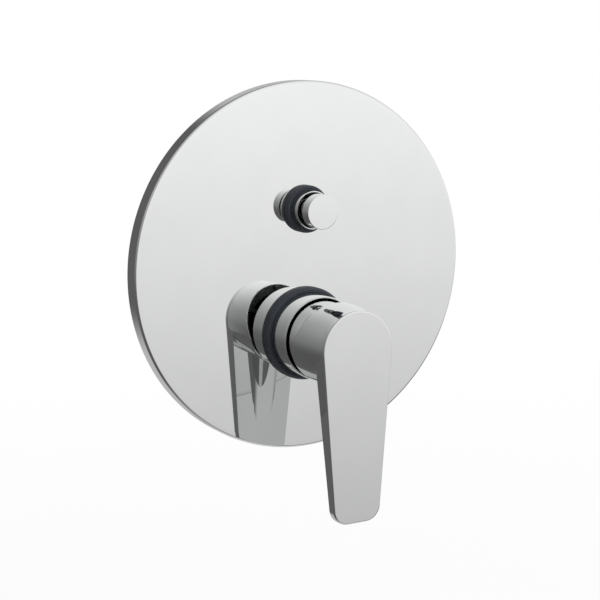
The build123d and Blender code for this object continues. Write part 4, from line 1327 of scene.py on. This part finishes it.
def make_floor(studio):
    """Round floor under the object, which polished metal doesn't see."""
    bm = bmesh.new()
    bmesh.ops.create_circle(
        bm, cap_ends=True, segments=FLOOR_SEGMENTS, radius=studio.floor_radius,
        matrix=Matrix.Translation((0, 0, studio.floor_height)),
    )
    floor = work_object(bm, "floor")
    floor.data.materials.append(floor_finish(studio))
    floor.visible_glossy = False


def aim(thing, place, target):
    thing.location = place
    thing.rotation_euler = (target - place).to_track_quat("-Z", "Y").to_euler()


def make_lamp(studio):
    """One large soft lamp above the camera, on its right."""
    light = bpy.data.lights.new("soft_lamp", "AREA")
    light.shape = "DISK"
    light.size = LAMP_WIDTH
    light.energy = studio.lamp_power
    lamp = bpy.data.objects.new("soft_lamp", light)
    bpy.context.scene.collection.objects.link(lamp)
    lamp.visible_glossy = False
    aim(lamp, LAMP_PLACE, ORIGIN)


def make_camera(studio):
    """Camera at the photograph's place."""
    eye = bpy.data.cameras.new("camera")
    eye.sensor_width = SENSOR_WIDTH
    eye.lens = studio.lens
    eye.shift_x = studio.shift_x
    eye.shift_y = studio.shift_y
    eye.clip_start = CLIP_START
    camera = bpy.data.objects.new("camera", eye)
    bpy.context.scene.collection.objects.link(camera)
    level = math.cos(studio.elevation)
    across = math.sin(studio.azimuth) * level
    outwards = -math.cos(studio.azimuth) * level
    back = Vector((across, outwards, math.sin(studio.elevation)))
    aim(camera, studio.distance * back, ORIGIN)
    bpy.context.scene.camera = camera


class MIXER_OT_stage(Operator):
    """Set the surround, floor, lamp and camera"""

    bl_idname = "mixer.stage"
    bl_label = "Stage"

    def execute(self, context):
        studio = context.scene.mixer_studio
        context.scene.view_settings.view_transform = "Standard"
        make_surround(studio)
        make_floor(studio)
        make_lamp(studio)
        make_camera(studio)
        return {"FINISHED"}


OPERATORS = (
    MIXER_OT_finishes, MIXER_OT_cover_plate, MIXER_OT_foam_seal, MIXER_OT_gaskets,
    MIXER_OT_sleeves, MIXER_OT_dome_ring, MIXER_OT_button, MIXER_OT_spring,
    MIXER_OT_lever_handle, MIXER_OT_screw_plug, MIXER_OT_mouths, MIXER_OT_casting,
    MIXER_OT_stage,
)
GROUPS = {
    "mixer_plate": MixerPlate,
    "mixer_controls": MixerControls,
    "mixer_lever": MixerLever,
    "mixer_body": MixerBody,
    "mixer_finishes": MixerFinishes,
    "mixer_studio": MixerStudio,
}


class MIXER_PT_panel(Panel):
    """Lists the mixer's sizes and the steps that build it"""

    bl_idname = "MIXER_PT_panel"
    bl_label = "Shower mixer"
    bl_space_type = "VIEW_3D"
    bl_region_type = "UI"
    bl_category = "Mixer"

    def draw(self, context):
        for operator in OPERATORS:
            self.layout.operator(operator.bl_idname)
        for name, group in GROUPS.items():
            box = self.layout.box()
            box.label(text=group.__name__)
            for key in group.__annotations__:
                box.prop(getattr(context.scene, name), key)


def register():
    for name, group in GROUPS.items():
        bpy.utils.register_class(group)
        setattr(bpy.types.Scene, name, PointerProperty(type=group))
    for operator in OPERATORS:
        bpy.utils.register_class(operator)
    bpy.utils.register_class(MIXER_PT_panel)


def unregister():
    bpy.utils.unregister_class(MIXER_PT_panel)
    for operator in reversed(OPERATORS):
        bpy.utils.unregister_class(operator)
    for name, group in GROUPS.items():
        delattr(bpy.types.Scene, name)
        bpy.utils.unregister_class(group)


def main():
    register()
    bpy.ops.mixer.finishes()
    bpy.ops.mixer.cover_plate()
    bpy.ops.mixer.foam_seal()
    bpy.ops.mixer.gaskets()
    bpy.ops.mixer.sleeves()
    bpy.ops.mixer.dome_ring()
    bpy.ops.mixer.button()
    bpy.ops.mixer.spring()
    bpy.ops.mixer.lever_handle()
    bpy.ops.mixer.screw_plug()
    bpy.ops.mixer.mouths()
    bpy.ops.mixer.casting()
    bpy.ops.mixer.stage()


if __name__ == "__main__":
    main()
